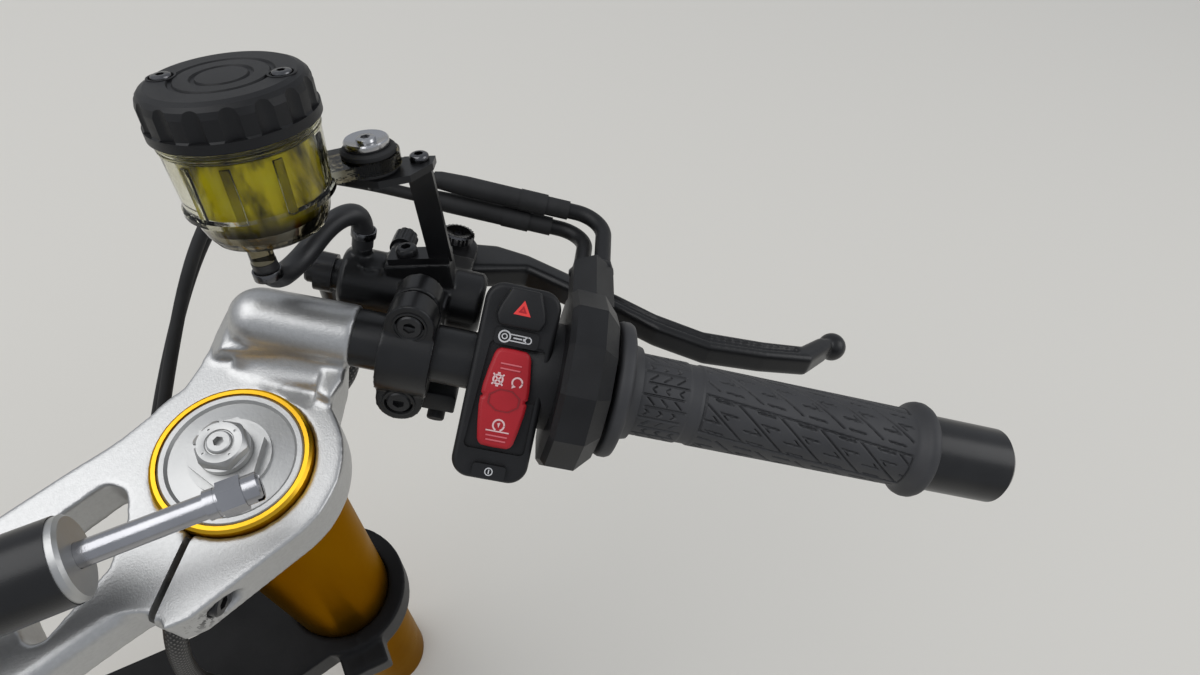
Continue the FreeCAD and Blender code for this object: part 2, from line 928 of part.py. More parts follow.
def clamp_bolt_place(side, up, forward):
    return ahead_of_bar(side, forward, up, size.clamp_start + size.clamp_width / 2)


def make_clamp_cover(name, side):
    body = new_body(f"clamp_cover_{name}", along_bar(side))
    add_clamp_half(body, side, -1)
    cut_circle(body, (0, 0), size.bar_radius, size.clamp_start - PAST, size.clamp_width + 2 * PAST)
    reach = size.clamp_lug_reach
    seat = size.clamp_pocket_depth - reach
    for word, up in (("upper", size.clamp_bolt_spread), ("lower", -size.clamp_bolt_spread)):
        round_shape(body, "SubtractiveCylinder", within(body, clamp_bolt_place(side, up, -reach - PAST)),
                    Radius=size.clamp_pocket_radius, Height=size.clamp_pocket_depth + PAST)
        round_shape(body, "SubtractiveCylinder", within(body, clamp_bolt_place(side, up, -reach)),
                    Radius=size.clamp_bolt_radius + size.bolt_clearance, Height=reach + PAST)
        place = clamp_bolt_place(side, up, seat)
        place.Rotation = place.Rotation.multiply(Rotation(Vector(1, 0, 0), 180))
        socket_bolt(f"clamp_bolt_{word}_{name}", place, size.clamp_bolt_radius, -seat,
                    size.clamp_head_radius, size.clamp_head_height)


def make_perch(label, side):
    # the cylinder lies along the bar, and two ears carry the lever's pivot
    body = new_body(label, along_bar(side))
    add_clamp_half(body, side, 1)
    start = size.clamp_start
    pad_outline(body, box_points(size.clamp_lug_reach, size.master_forward,
                                 side * size.master_neck_low, side * size.master_neck_high),
                start, size.clamp_width)
    centre = (size.master_forward, side * size.master_up)
    pad_circle(body, centre, size.master_radius, size.master_start, size.master_stop - size.master_start)
    bevel_edges(body, size.master_edge, size.master_edge, at_level(size.master_start, size.master_stop))
    lowest = ear_levels()[1][0]
    root = size.pivot_forward - size.lever_root_gap
    pad_outline(body, [(size.master_forward, side * lowest), (root, side * lowest),
                       (root, side * (size.master_up + 8)),
                       (size.master_forward, side * (size.master_up + 12))],
                size.pivot_along - size.ear_radius, size.ear_radius * 2)
    for low, high in ear_levels():
        ear = box_points(size.master_forward, size.pivot_forward, side * low, side * high)
        pad_outline(body, ear, size.pivot_along - size.ear_radius, size.ear_radius * 2)
        round_shape(body, "AdditiveCylinder",
                    within(body, across_bar(side, size.pivot_forward, low, size.pivot_along)),
                    Radius=size.ear_radius, Height=high - low)
    cut_circle(body, (0, 0), size.bar_radius, start - PAST, size.clamp_width + 2 * PAST)
    far = 4 * size.ear_radius
    round_shape(body, "SubtractiveCylinder",
                within(body, across_bar(side, size.pivot_forward, -far, size.pivot_along)),
                Radius=size.pivot_radius, Height=far * 2)
    for up in (size.clamp_bolt_spread, -size.clamp_bolt_spread):
        round_shape(body, "SubtractiveCylinder", within(body, clamp_bolt_place(side, up, 0)),
                    Radius=size.clamp_bolt_radius + size.bolt_clearance, Height=size.clamp_pocket_depth)
    return body


def add_brake_details(body):
    # the turret and the hose inlet on the cylinder, the seats of the bracket's foot and of the knob
    forward = size.master_forward
    round_shape(body, "AdditiveCylinder",
                within(body, across_bar(1, size.turret_forward, size.master_up, size.turret_along)),
                Radius=size.turret_radius, Height=size.turret_height - size.master_up)
    round_shape(body, "AdditiveCylinder",
                within(body, across_bar(1, forward, size.master_up, size.hose_inlet_along)),
                Radius=size.nipple_radius, Height=size.hose_inlet_up - size.master_up)
    round_shape(body, "AdditiveCylinder",
                within(body, ahead_of_bar(1, forward, size.knob_up, size.knob_along)),
                Radius=size.knob_radius - 1, Height=size.knob_start - forward)
    foot = size.bracket_foot_level
    corner = Vector(num(FOOT[0][0]), num(FOOT[0][1]), 0)
    lengths = {"Length": FOOT[1][0] - FOOT[0][0], "Width": FOOT[1][1] - FOOT[0][1]}
    for kind, low, high in (("Additive", foot - 14, foot), ("Subtractive", foot, foot + 4 * PAST)):
        place = reservoir_place().multiply(Placement(corner + Vector(0, 0, num(low)), Rotation()))
        round_shape(body, f"{kind}Box", within(body, place), Height=high - low, **lengths)


def make_knob():
    # the ribbed knob that sets the lever's reach
    place = ahead_of_bar(1, size.knob_start, size.knob_up, size.knob_along)
    body = turned("lever_knob", place, [
        (0, 0), (size.knob_radius, 0), (size.knob_radius, size.knob_length - 1),
        (size.knob_radius - 1, size.knob_length), (0, size.knob_length),
    ])
    sketch = new_sketch(body, "XY_Plane", 1)
    circle(sketch, (size.knob_radius + 0.5, 0), 1)
    repeat_round(body, pocket(body, sketch, size.knob_length), sketch, 10)


def ear_levels():
    half = size.lever_thickness / 2 + size.ear_gap
    return [
        (size.lever_up + half, size.lever_up + half + size.ear_thickness),
        (size.lever_up - half - size.ear_thickness, size.lever_up - half),
    ]


# the lever from above, along the bar and forward of it: rear edge outwards, front edge back
LEVER_REAR = [(12, 67), (36, 64.5), (60, 75), (78, 67.5), (104, 58), (122, 49), (146, 43), (174, 46), (198, 51)]
LEVER_TIP = [(212, 66), (216, 74), (206, 72)]
LEVER_FRONT = [(194, 61), (174, 57.5), (144, 55), (122, 61), (104, 70), (80, 79.5), (60, 88), (44, 90.5),
               (28, 86), (14, 81)]
LEVER_BALL = (216, 74)
LEVER_GROOVE = [(86, 70), (104, 62), (122, 53.5), (146, 47), (174, 50), (192, 54), (191, 57), (174, 53.5),
                (146, 51), (122, 57), (104, 66), (88, 73)]


def make_lever(label, side):
    half = size.lever_thickness / 2
    body = new_body(label, on_lever_plane(side, up=size.lever_up - side * half))
    pad_outline(body, LEVER_REAR + LEVER_TIP + LEVER_FRONT, 0, size.lever_thickness)
    round_edges(body, size.lever_edge, at_level(0, size.lever_thickness))
    face = size.lever_thickness - size.groove_depth if side > 0 else as_size(-PAST)
    cut_outline(body, LEVER_GROOVE, face, size.groove_depth + PAST)
    ball = Placement(Vector(LEVER_BALL[0], LEVER_BALL[1], num(half)), Rotation())
    round_shape(body, "AdditiveSphere", ball, Radius=size.lever_ball_radius)
    cut_circle(body, (size.pivot_along, size.pivot_forward), size.pivot_radius + size.lever_bore_clearance,
               -PAST, size.lever_thickness + 2 * PAST)
    return body


def make_pivot(label, side):
    top = ear_levels()[0][1]
    bottom = ear_levels()[1][0]
    place = across_bar(side, size.pivot_forward, 0, size.pivot_along)
    return turned(label, place, [
        (0, bottom), (size.pivot_radius, bottom), (size.pivot_radius, top),
        (size.pivot_head_radius, top), (size.pivot_head_radius, top + size.pivot_head_height),
        (0, top + size.pivot_head_height),
    ])


# Switch pods and throttle housing

# the direction that the switches face and the way up their face, in the bar's forward and up
FACE_OUT = (-0.841, 0.541)
FACE_UP = (0.541, 0.841)


def facing_rider(side, stand, drop, along):
    # on the pod's face: local Z towards the rider, local Y up the face
    ahead, above, outward = bar_frame(side)
    towards = ahead * FACE_OUT[0] + above * FACE_OUT[1]
    upward = ahead * FACE_UP[0] + above * FACE_UP[1]
    origin = bar_start(side) + towards * num(stand) + upward * num(drop) + outward * num(along)
    return Placement(origin, Rotation(outward * side, upward, towards, "ZXY"))


def pod_middle():
    return size.clamp_start + size.clamp_width + size.pod_gap + size.pod_width / 2


def make_pod(name, side):
    body = new_body(f"switch_pod_{name}", facing_rider(side, -size.pod_back, size.pod_drop, pod_middle()))
    half_width = size.pod_width / 2
    half_height = size.pod_height / 2
    pad_outline(body, box_points(-half_width, half_width, -half_height, half_height), 0, size.pod_depth)
    round_edges(body, size.pod_corner, upright)
    round_edges(body, size.pod_edge, at_level(size.pod_depth))
    round_shape(body, "SubtractiveCylinder",
                Placement(Vector(-2 * num(size.pod_width), -num(size.pod_drop), num(size.pod_back)), ACROSS),
                Radius=size.bar_radius, Height=size.pod_width * 4)
    if side > 0:
        dish = size.pod_depth - size.pod_dish
        cut_outline(body, ROCKER_DISH, dish, size.pod_dish + PAST)
        round_edges(body, size.pod_edge, upright_near(*ROCKER_DISH))
    return body


def on_pod(label, side, points, drop, along, thickness, rounding, sink=0):
    base = size.pod_depth - size.pod_back - sink
    body = new_body(label, facing_rider(side, base, drop, pod_middle() + along))
    pad_outline(body, points, 0, thickness)
    round_edges(body, rounding, upright)
    return body


# on the pod's own face: the dish around the rocker, and the rocker's outline
ROCKER_DISH = [(-11, -25), (11.4, -25), (11.4, 15), (-9, 15)]
ROCKER = [(-8.5, -12), (-5, -18), (5, -18), (8.5, -12), (8.5, 12), (5, 18), (-5, 18), (-8.5, 12)]


def make_buttons():
    stand = size.button_stand
    on_pod("kill_rocker", 1, ROCKER, -9, 0, size.rocker_stand, 1.5, size.pod_dish)
    hazard = [(-8, -5), (-6, -7), (6, -7), (8, -5), (6.5, 6), (-6.5, 6)]
    on_pod("hazard_button", 1, hazard, 24, 0, stand, 0.8)
    on_pod("key_pad", 1, box_points(-8, 8, -3, 3), 13, 0, 1, 1.4)
    on_pod("heat_button", 1, box_points(-6, 6, -2.5, 2.5), -36, 0, stand, 1)
    on_pod("signal_switch", -1, box_points(-7, 7, -4, 4), -14, 0, stand * 2.4, 2)
    on_pod("horn_button", -1, box_points(-7, 7, -5, 5), -28, 0, stand, 2)
    on_pod("menu_pad", -1, box_points(-9, 9, -9, 9), 8, 0, stand, 4)


def make_throttle_housing():
    start = throttle_start()
    body = new_body("throttle_housing", along_bar(1, along=start))
    pad_outline(body, polygon(12, size.throttle_radius), 0, size.throttle_width)
    bevel_edges(body, size.throttle_bevel, size.throttle_bevel, at_level(size.throttle_width))
    bevel_edges(body, size.yoke_edge, size.yoke_edge, at_level(0))
    tower = within(body, ahead_of_bar(1, size.tower_back, size.tower_up, start + size.throttle_width / 2))
    prism = round_shape(body, "AdditivePrism", tower, Circumradius=size.tower_radius,
                        Height=size.tower_forward - size.tower_back)
    prism.Polygon = 6
    cut_circle(body, (0, 0), size.bar_radius, -PAST, size.throttle_width + 2 * PAST)
    return body


# Brake fluid reservoir

def reservoir_place():
    # at the cap's lower edge: local Z up the reservoir's own axis, which leans inboard and back
    ahead, above, outward = bar_frame(1)
    lean = math.radians(num(size.reservoir_lean))
    rake = math.radians(num(size.reservoir_rake))
    axis = above * math.cos(lean) - outward * math.sin(lean)
    axis = axis * math.cos(rake) - ahead * math.sin(rake)
    side_way = outward * math.cos(lean) + above * math.sin(lean)
    forward_way = axis.cross(side_way)
    origin = spot(1, size.cap_forward, size.cap_up, size.cap_along)
    return Placement(origin, Rotation(side_way, forward_way, axis, "ZXY"))


def make_reservoir_cap():
    radius = size.reservoir_cap_radius
    high = size.reservoir_cap_height
    dome = size.reservoir_cap_dome
    groove_low = high - 0.6
    body = turned("reservoir_cap", reservoir_place(), [
        (0, 0), (radius, 0), (radius, size.reservoir_cap_band), (radius - 0.5, size.reservoir_cap_band + 0.5),
        (radius - 0.5, high - dome), (radius - 1.1, high - dome / 2), (radius - 2.2, high - dome / 5),
        (radius - dome, high), (15, high), (14.6, groove_low), (13.6, groove_low), (13.2, high),
        (9, high), (8.6, groove_low), (7.6, groove_low), (7.2, high), (0, high),
    ])
    sketch = new_sketch(body, "XY_Plane", size.reservoir_cap_band)
    circle(sketch, (radius + size.flute_radius - size.flute_depth, 0), size.flute_radius)
    repeat_round(body, pocket(body, sketch, high), sketch, size.flute_count)
    for way in (-1, 1):
        cut_circle(body, (way * size.cap_screw_reach, 0), size.cap_screw_radius, groove_low, PAST)
    return body


def reservoir_outer():
    low = -size.reservoir_height
    step = -size.reservoir_step
    return [
        (0, 0), (size.reservoir_radius, 0), (size.reservoir_waist, step + 1), (size.reservoir_waist + 0.8, step),
        (size.reservoir_waist + 0.8, step - 1.6), (size.reservoir_waist - 1, step - 2.4),
        (size.reservoir_foot_radius, low + 5), (size.reservoir_foot_radius - 1.6, low + 2),
        (size.reservoir_foot_radius - 5, low), (0, low),
    ]


def reservoir_inner(gap, top):
    low = size.reservoir_wall - size.reservoir_height + gap
    wall = size.reservoir_wall + gap
    waist = size.reservoir_waist - wall - 1
    share = (size.reservoir_step + top) / size.reservoir_step
    upper = waist + (size.reservoir_radius - size.reservoir_waist) * share
    return [
        (0, low), (size.reservoir_foot_radius - wall - 4, low), (size.reservoir_foot_radius - wall, low + 5),
        (waist, -size.reservoir_step), (upper, top), (0, top),
    ]


def make_reservoir():
    low = -size.reservoir_height
    place = reservoir_place()
    shell = turned("reservoir_body", place, reservoir_outer())
    spout = Vector(-num(size.nipple_left), 0, num(low - size.nipple_length))
    round_shape(shell, "AdditiveCylinder", Placement(spout, Rotation()),
                Radius=size.nipple_radius, Height=size.nipple_length + size.reservoir_wall)
    ear_low = size.ear_level + 2
    ear = (size.ear_out, size.ear_ahead)
    plate = size.grommet_height - 4.2
    pad_outline(shell, EAR_ARM, ear_low, plate)
    pad_circle(shell, ear, size.grommet_radius + 1, ear_low, plate)
    cut_circle(shell, ear, size.grommet_radius - size.grommet_groove, ear_low - PAST, plate + 2 * PAST)
    groove(shell, reservoir_inner(0, as_size(0)))
    turned("reservoir_fluid", place, reservoir_inner(size.fluid_gap, -size.fluid_drop))
    return shell


# in the reservoir's frame, outward and forward: the arm to its ear, the bracket's plate and its foot
EAR_ARM = [(17, 3), (37, 13), (27, 28), (6, 18)]
BRACKET_EAR = [(22, 14), (34, 11), (44, 15), (50, 24), (50, 30), (41, 30), (26, 27)]
FOOT = [(21, 33), (47, 44)]
LEG_LEFT = 39
LEG_WIDTH = 9


def make_bracket():
    # a folded plate: ear plate, leg and foot
    level = size.ear_level
    plate = size.bracket_plate
    foot = size.bracket_foot_level
    body = new_body("reservoir_bracket", reservoir_place())
    pad_outline(body, BRACKET_EAR, level - plate, plate)
    (left, rear), (right, front) = FOOT
    pad_outline(body, box_points(left + 2, right, rear + 1, front - 1), foot, plate)
    sketch = new_sketch(body, "YZ_Plane", LEG_LEFT)
    draw(sketch, [(30, level), (27.5, level), (35.5, foot), (38, foot)])
    pad(body, sketch, LEG_WIDTH)
    ear = (size.ear_out, size.ear_ahead)
    cut_circle(body, ear, size.ear_bolt_radius, level - plate - PAST, plate + 2 * PAST)


def make_ear_fixings():
    # the rubber grommet in the ear, and the bolt with its dished washer
    level = size.ear_level
    ear = Placement(Vector(num(size.ear_out), num(size.ear_ahead), 0), Rotation())
    place = reservoir_place().multiply(ear)
    waist = size.grommet_radius - size.grommet_groove
    top = level + size.grommet_height
    bore = size.ear_bolt_radius + size.spigot_clearance
    turned("reservoir_grommet", place, [
        (bore, level), (size.grommet_radius - 0.7, level), (size.grommet_radius, level + 0.7),
        (size.grommet_radius, level + 2), (waist, level + 2), (waist, top - 2.2),
        (size.grommet_radius, top - 2.2), (size.grommet_radius, top - 0.8), (size.grommet_radius - 0.8, top),
        (bore, top),
    ])
    washer = size.grommet_radius - 1.8
    bolt = turned("reservoir_bolt", place, [
        (0, level - size.bracket_plate - 4), (size.ear_bolt_radius, level - size.bracket_plate - 4),
        (size.ear_bolt_radius, top), (washer, top), (washer, top + 0.6),
        (washer - 1.4, top + size.washer_height), (size.ear_bolt_radius + 1, top + 0.8), (0, top + 0.8),
    ])
    pad_circle(bolt, (0, 0), size.ear_bolt_radius, top, size.washer_height)


# Hoses and cables

def banjo_centre():
    return spot(1, size.master_forward, size.master_up, size.master_start - size.banjo_offset)


def make_banjo():
    # the hollow bolt and ring that carry the brake hose away from the cylinder's end
    place = along_bar(1, size.master_forward, size.master_up, size.master_start)
    body = turned("brake_banjo", place, [
        (0, -14), (5, -14), (5.5, -13), (5.5, -10), (8, -10), (8, -3), (6.5, -3), (6.5, 0), (0, 0),
    ])
    downward = Placement(banjo_centre(), Rotation(Vector(1, 0, 0), 180))
    round_shape(body, "AdditiveCylinder", within(body, downward),
                Radius=size.banjo_neck_radius, Height=size.banjo_neck)


# the brake hose from below its banjo round the front of the fork, and down between the forks
BRAKE_ROUTE = [
    (146, 80, -64), (112, 80, -84), (76, 62, -80), (56, 30, -70), (46, 8, -84), (37, 1, -120), (33, 2, -160),
    (32, 6, -199),
]
# the throttle cables in the bar's frame, forward, up and along, and then in the whole part's
CABLE_CORNER = (86, 2.8, 1)
CABLE_BAR_ROUTE = [(86, 2.8, -105), (72, 3, -141), (58, -21, -165)]
CABLE_ROUTE = [(62, 98, -70), (34, 76, -130), (22, 60, -199)]


def make_hoses():
    end = Vector(-num(size.nipple_left), 0, -num(size.reservoir_height + size.nipple_length))
    outlet = reservoir_place().multVec(end)
    below = reservoir_place().multVec(end - Vector(0, 0, 9))
    inlet = (size.master_forward, size.hose_inlet_up, size.hose_inlet_along)
    tube("reservoir_hose", [
        outlet, below, spot(1, 10, 20, -25), spot(1, 25, 34, -17),
        spot(1, size.master_forward, 34, size.hose_inlet_along), spot(1, *inlet),
    ], size.hose_radius)
    neck = banjo_centre() - Vector(0, 0, num(size.banjo_neck))
    first = neck - Vector(0, 0, 28)
    tube("brake_hose", [neck, first] + [Vector(*point) for point in BRAKE_ROUTE], size.brake_hose_radius)
    for label, way in (("pull", 1), ("return", -1)):
        make_cable(label, way)


def make_cable(label, way):
    # a stiff elbow out of the throttle's tower, a rubber boot over its end, and the cable
    along = throttle_start() + size.throttle_width / 2
    # the elbow's slanted end keeps its lower edge on the tower's face
    face = size.tower_forward + size.elbow_radius * 0.15
    root = spot(1, face, size.tower_up + 2.2 * way, along + 4.2 * way)
    spread = size.cable_spread * way
    forward, rise, shift = CABLE_CORNER
    corner = spot(1, forward, size.tower_up + rise + spread, along + shift + 3 * way)
    forward, rise, shift = CABLE_BAR_ROUTE[0]
    far = spot(1, forward, size.tower_up + rise + spread, along + shift)
    onward = (far - corner).normalize()
    join = corner + onward * 30
    tube(f"throttle_elbow_{label}", [root, corner, join], size.elbow_radius)
    route = [join, far]
    for forward, rise, shift in CABLE_BAR_ROUTE[1:]:
        route.append(spot(1, forward - 2.6 * way, size.tower_up + rise + 2.4 * way, along + shift))
    drift = Vector(1, -3.2, 1.6) * way
    tube(f"throttle_cable_{label}", route + [Vector(*point) + drift for point in CABLE_ROUTE], size.cable_radius)
    place = Placement(join, Rotation(Vector(0, 0, 1), onward))
    bore = size.cable_radius
    snug = size.elbow_radius
    wide = size.boot_radius
    lap = size.boot_lap
    stop = size.boot_length
    collar = stop / 5
    turned(f"throttle_boot_{label}", place, [
        (bore, 0), (snug, 0), (snug, -lap), (wide - 0.6, -lap), (wide - 0.6, -lap / 5), (wide, -lap / 5),
        (wide, collar), (wide - 0.3, collar), (wide - 0.3, stop * 0.7), (wide - 0.9, stop * 0.94),
        (bore + 0.6, stop), (bore, stop),
    ])


# Steering damper

def make_damper():
    left = size.damper_right - size.damper_length
    place = along_x(0, size.damper_forward, size.damper_up)
    bore = size.rod_radius + size.rod_gap
    cap = size.damper_cap_width
    turned("damper_body", place, ring_points(
        bore + size.damper_wall, size.damper_radius, left + cap, size.damper_right - cap))
    rim = size.damper_radius - size.damper_cap_step
    for label, low in (("damper_cap_left", left), ("damper_cap_right", size.damper_right - cap)):
        body = turned(label, place, ring_points(bore, rim, low, low + cap))
        face = low if label == "damper_cap_left" else low + cap
        bevel_edges(body, size.tube_edge, size.tube_edge, rim_edge(face, rim))
    tip = size.rod_right
    rod = turned("damper_rod", place, [
        (0, size.rod_left), (size.rod_radius - 0.5, size.rod_left), (size.rod_radius, size.rod_left + 0.5),
        (size.rod_radius, tip - 16), (size.rod_collar_radius, tip - 16), (size.rod_collar_radius, tip - 13),
        (size.rod_tip_radius, tip - 13), (size.rod_tip_radius, tip - 0.6), (size.rod_tip_radius - 0.6, tip), (0, tip),
    ])
    pad_outline(rod, polygon(6, size.rod_hex_radius), tip - 12, 7)
    half = size.rod_slot / 2
    reach = size.rod_tip_radius * 2
    cut_outline(rod, box_points(-half, half, -reach, reach), tip - size.rod_slot, size.rod_slot + PAST)
    mount = new_body("damper_mount", along_x(size.damper_clamp_left, size.damper_forward, size.damper_up))
    outer = size.damper_radius + size.damper_clamp_wall
    half = size.damper_foot_half
    pad_circle(mount, (0, 0), outer, 0, size.damper_clamp_width)
    pad_outline(mount, box_points(as_size(0), size.damper_up, -half, half), 0, size.damper_clamp_width)
    cut_circle(mount, (0, 0), size.damper_radius, -PAST, size.damper_clamp_width + 2 * PAST)


def rim_edge(level, radius):
    def wanted(edge):
        return at_level(level)(edge) and hasattr(edge.Curve, "Radius") and close(edge.Curve.Radius, radius)
    return wanted


def build():
    make_top_yoke()
    make_lower_yoke()
    for name, side in SIDES.items():
        socket_bolt(f"pinch_bolt_{name}", pinch_place(side, size.pinch_seat), size.pinch_radius,
                    size.pinch_seat + size.pinch_depth, size.pinch_head_radius, size.pinch_head_height)
        make_fork(name, side)
        make_bar(name, side)
        make_clamp_cover(name, side)
        make_pod(name, side)
    make_grip("right", 1, size.bar_radius + size.grip_clearance)
    make_grip("left", -1, size.bar_radius)
    add_brake_details(make_perch("brake_master", 1))
    make_knob()
    make_perch("clutch_perch", -1)
    make_lever("brake_lever", 1)
    make_lever("clutch_lever", -1)
    make_pivot("brake_pivot", 1)
    make_pivot("clutch_pivot", -1)
    make_throttle_housing()
    make_reservoir_cap()
    make_reservoir()
    make_bracket()
    make_ear_fixings()
    make_banjo()
    make_hoses()
    make_buttons()
    make_damper()


def check_and_write():
    doc.recompute()
    for item in doc.Objects:
        if "Invalid" in item.State or "Error" in item.State:
            owner = item.getParentGeoFeatureGroup()
            raise RuntimeError(f"{item.Label} of {owner.Label if owner else item.Label} failed: {item.State}")
    os.makedirs("parts", exist_ok=True)
    for item in SUBPARTS:
        shape = item.Shape
        if shape.isNull() or not shape.isValid() or len(shape.Solids) != 1:
            raise RuntimeError(f"{item.Label} has no single valid solid")
        shape.exportStep(f"parts/{item.Label}.step")
        print(item.Label, round(shape.Volume))


build()
check_and_write()
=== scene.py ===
import json
import math

import bpy
from mathutils import Matrix, Vector


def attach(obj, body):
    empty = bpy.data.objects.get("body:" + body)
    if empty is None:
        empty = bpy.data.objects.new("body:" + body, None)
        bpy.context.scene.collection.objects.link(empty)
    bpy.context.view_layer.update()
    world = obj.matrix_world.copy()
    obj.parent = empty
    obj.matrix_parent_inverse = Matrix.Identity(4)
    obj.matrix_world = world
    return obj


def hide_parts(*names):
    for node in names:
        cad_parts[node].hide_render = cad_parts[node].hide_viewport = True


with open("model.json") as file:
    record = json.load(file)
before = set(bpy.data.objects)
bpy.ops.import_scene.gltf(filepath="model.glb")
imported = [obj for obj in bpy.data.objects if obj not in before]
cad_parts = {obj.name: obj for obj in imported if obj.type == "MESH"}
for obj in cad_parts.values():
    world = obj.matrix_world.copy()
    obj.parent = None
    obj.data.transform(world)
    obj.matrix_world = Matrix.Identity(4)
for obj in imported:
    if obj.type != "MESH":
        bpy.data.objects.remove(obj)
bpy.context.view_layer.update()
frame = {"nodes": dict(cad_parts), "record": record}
nodes = frame["nodes"]
materials = {}  # the finishes by name, filled by makeMaterials
print("frame loaded:", len(nodes), "nodes")


# the steering top seen from above the rider's right hand

def addCamera():
    cameraView = {
        "place": (0.14577, -0.10146, 0.26500),
        "right": (0.8910366, -0.4411181, 0.1070917),
        "up": (0.3350594, 0.7982999, 0.5004524),
        "lens": 23.06, "sensor": 36, "nearest": 0.01,
    }
    data = bpy.data.cameras.new("camera")
    data.lens = cameraView["lens"]
    data.sensor_width = cameraView["sensor"]
    data.clip_start = cameraView["nearest"]
    camera = addObject("camera", data)
    right, up = Vector(cameraView["right"]), Vector(cameraView["up"])
    camera.matrix_world = axesAt(Vector(cameraView["place"]), right, up, right.cross(up))
    bpy.context.scene.camera = camera
    print("camera set")


def addObject(name, data):
    item = bpy.data.objects.new(name, data)
    bpy.context.scene.collection.objects.link(item)
    return item


def deselectAll():
    for item in bpy.context.selected_objects:
        item.select_set(False)


# materials

def newMaterial(name):
    material = bpy.data.materials.new(name)
    material.use_nodes = True
    tree = material.node_tree
    shader = tree.nodes["Principled BSDF"]
    return material, tree, shader


def addNode(tree, kind, **sockets):
    node = tree.nodes.new(kind)
    for socketName, value in sockets.items():
        node.inputs[socketName].default_value = value
    return node


def addNoise(tree, scale, detail=4.0, stretch=None):
    # noise that sticks to the object's own coordinates
    place = tree.nodes.new("ShaderNodeTexCoord").outputs["Object"]
    noise = addNode(tree, "ShaderNodeTexNoise", Scale=scale, Detail=detail)
    if stretch:
        mapping = addNode(tree, "ShaderNodeMapping", Scale=stretch)
        tree.links.new(place, mapping.inputs["Vector"])
        place = mapping.outputs["Vector"]
    tree.links.new(place, noise.inputs["Vector"])
    return noise.outputs["Fac"]


def addRamp(tree, source, stops):
    ramp = tree.nodes.new("ShaderNodeValToRGB")
    while len(ramp.color_ramp.elements) < len(stops):
        ramp.color_ramp.elements.new(0.5)
    for element, (position, colour) in zip(ramp.color_ramp.elements, stops):
        element.position = position
        element.color = (*colour, 1)
    tree.links.new(source, ramp.inputs["Fac"])
    return ramp.outputs["Color"]


def addRange(tree, source, low, high, start=0, stop=1):
    # a value that runs from start to stop, spread from low to high
    spread = tree.nodes.new("ShaderNodeMapRange")
    for socketName, value in (("From Min", start), ("From Max", stop), ("To Min", low), ("To Max", high)):
        spread.inputs[socketName].default_value = value
    tree.links.new(source, spread.inputs["Value"])
    return spread.outputs["Result"]


def addVectorStep(tree, operation, source, value):
    step = tree.nodes.new("ShaderNodeVectorMath")
    step.operation = operation
    step.inputs[1].default_value = value
    tree.links.new(source, step.inputs[0])
    return step.outputs


def addRoughness(tree, shader, scale, detail, low, high):
    # roughness that wanders between two values
    tree.links.new(addRange(tree, addNoise(tree, scale, detail), low, high), shader.inputs["Roughness"])


def addBump(tree, shader, source, strength, distance):
    bump = addNode(tree, "ShaderNodeBump", Strength=strength, Distance=distance)
    tree.links.new(source, bump.inputs["Height"])
    tree.links.new(bump.outputs["Normal"], shader.inputs["Normal"])


def mottled(tree, scale, colours, stretch=None):
    # two colours in soft patches
    dark, light = colours
    return addRamp(tree, addNoise(tree, scale, 5, stretch), [(0.3, dark), (0.7, light)])


def surface(name, ownValues):
    # one finish: mottled colour, uneven roughness and a fine grain
    values = {"mottleScale": 60, "wearScale": 25, "metal": 0, "specular": 0.5,
              "grainScale": 2500, "grainStrength": 0.2, "grainDepth": 0.0002, **ownValues}
    material, tree, shader = newMaterial(name)
    tree.links.new(mottled(tree, values["mottleScale"], values["colours"]), shader.inputs["Base Color"])
    addRoughness(tree, shader, values["wearScale"], 6, *values["roughness"])
    shader.inputs["Metallic"].default_value = values["metal"]
    shader.inputs["Specular IOR Level"].default_value = values["specular"]
    addBump(tree, shader, addNoise(tree, values["grainScale"], 3), values["grainStrength"], values["grainDepth"])
    return material


def addScuffs(material):
    # chipped paint in a patch round the pinch bolt
    scuffs = {"centre": (0.0765, -0.013, -0.010), "reach": (0.003, 0.010), "scale": 700, "bare": (0.10, 0.10, 0.10)}
    tree = material.node_tree
    colour = tree.nodes["Principled BSDF"].inputs["Base Color"]
    place = tree.nodes.new("ShaderNodeTexCoord").outputs["Object"]
    distance = addVectorStep(tree, "DISTANCE", place, scuffs["centre"])["Value"]
    near = addRange(tree, distance, 1, 0, *scuffs["reach"])
    chips = addRamp(tree, addNoise(tree, scuffs["scale"], 6, (1, 1, 0.5)), [(0.52, (0, 0, 0)), (0.56, (1, 1, 1))])
    share = mixColours(tree, near, (0, 0, 0), chips)
    clean = colour.links[0].from_socket
    tree.links.new(mixColours(tree, share, clean, scuffs["bare"]), colour)


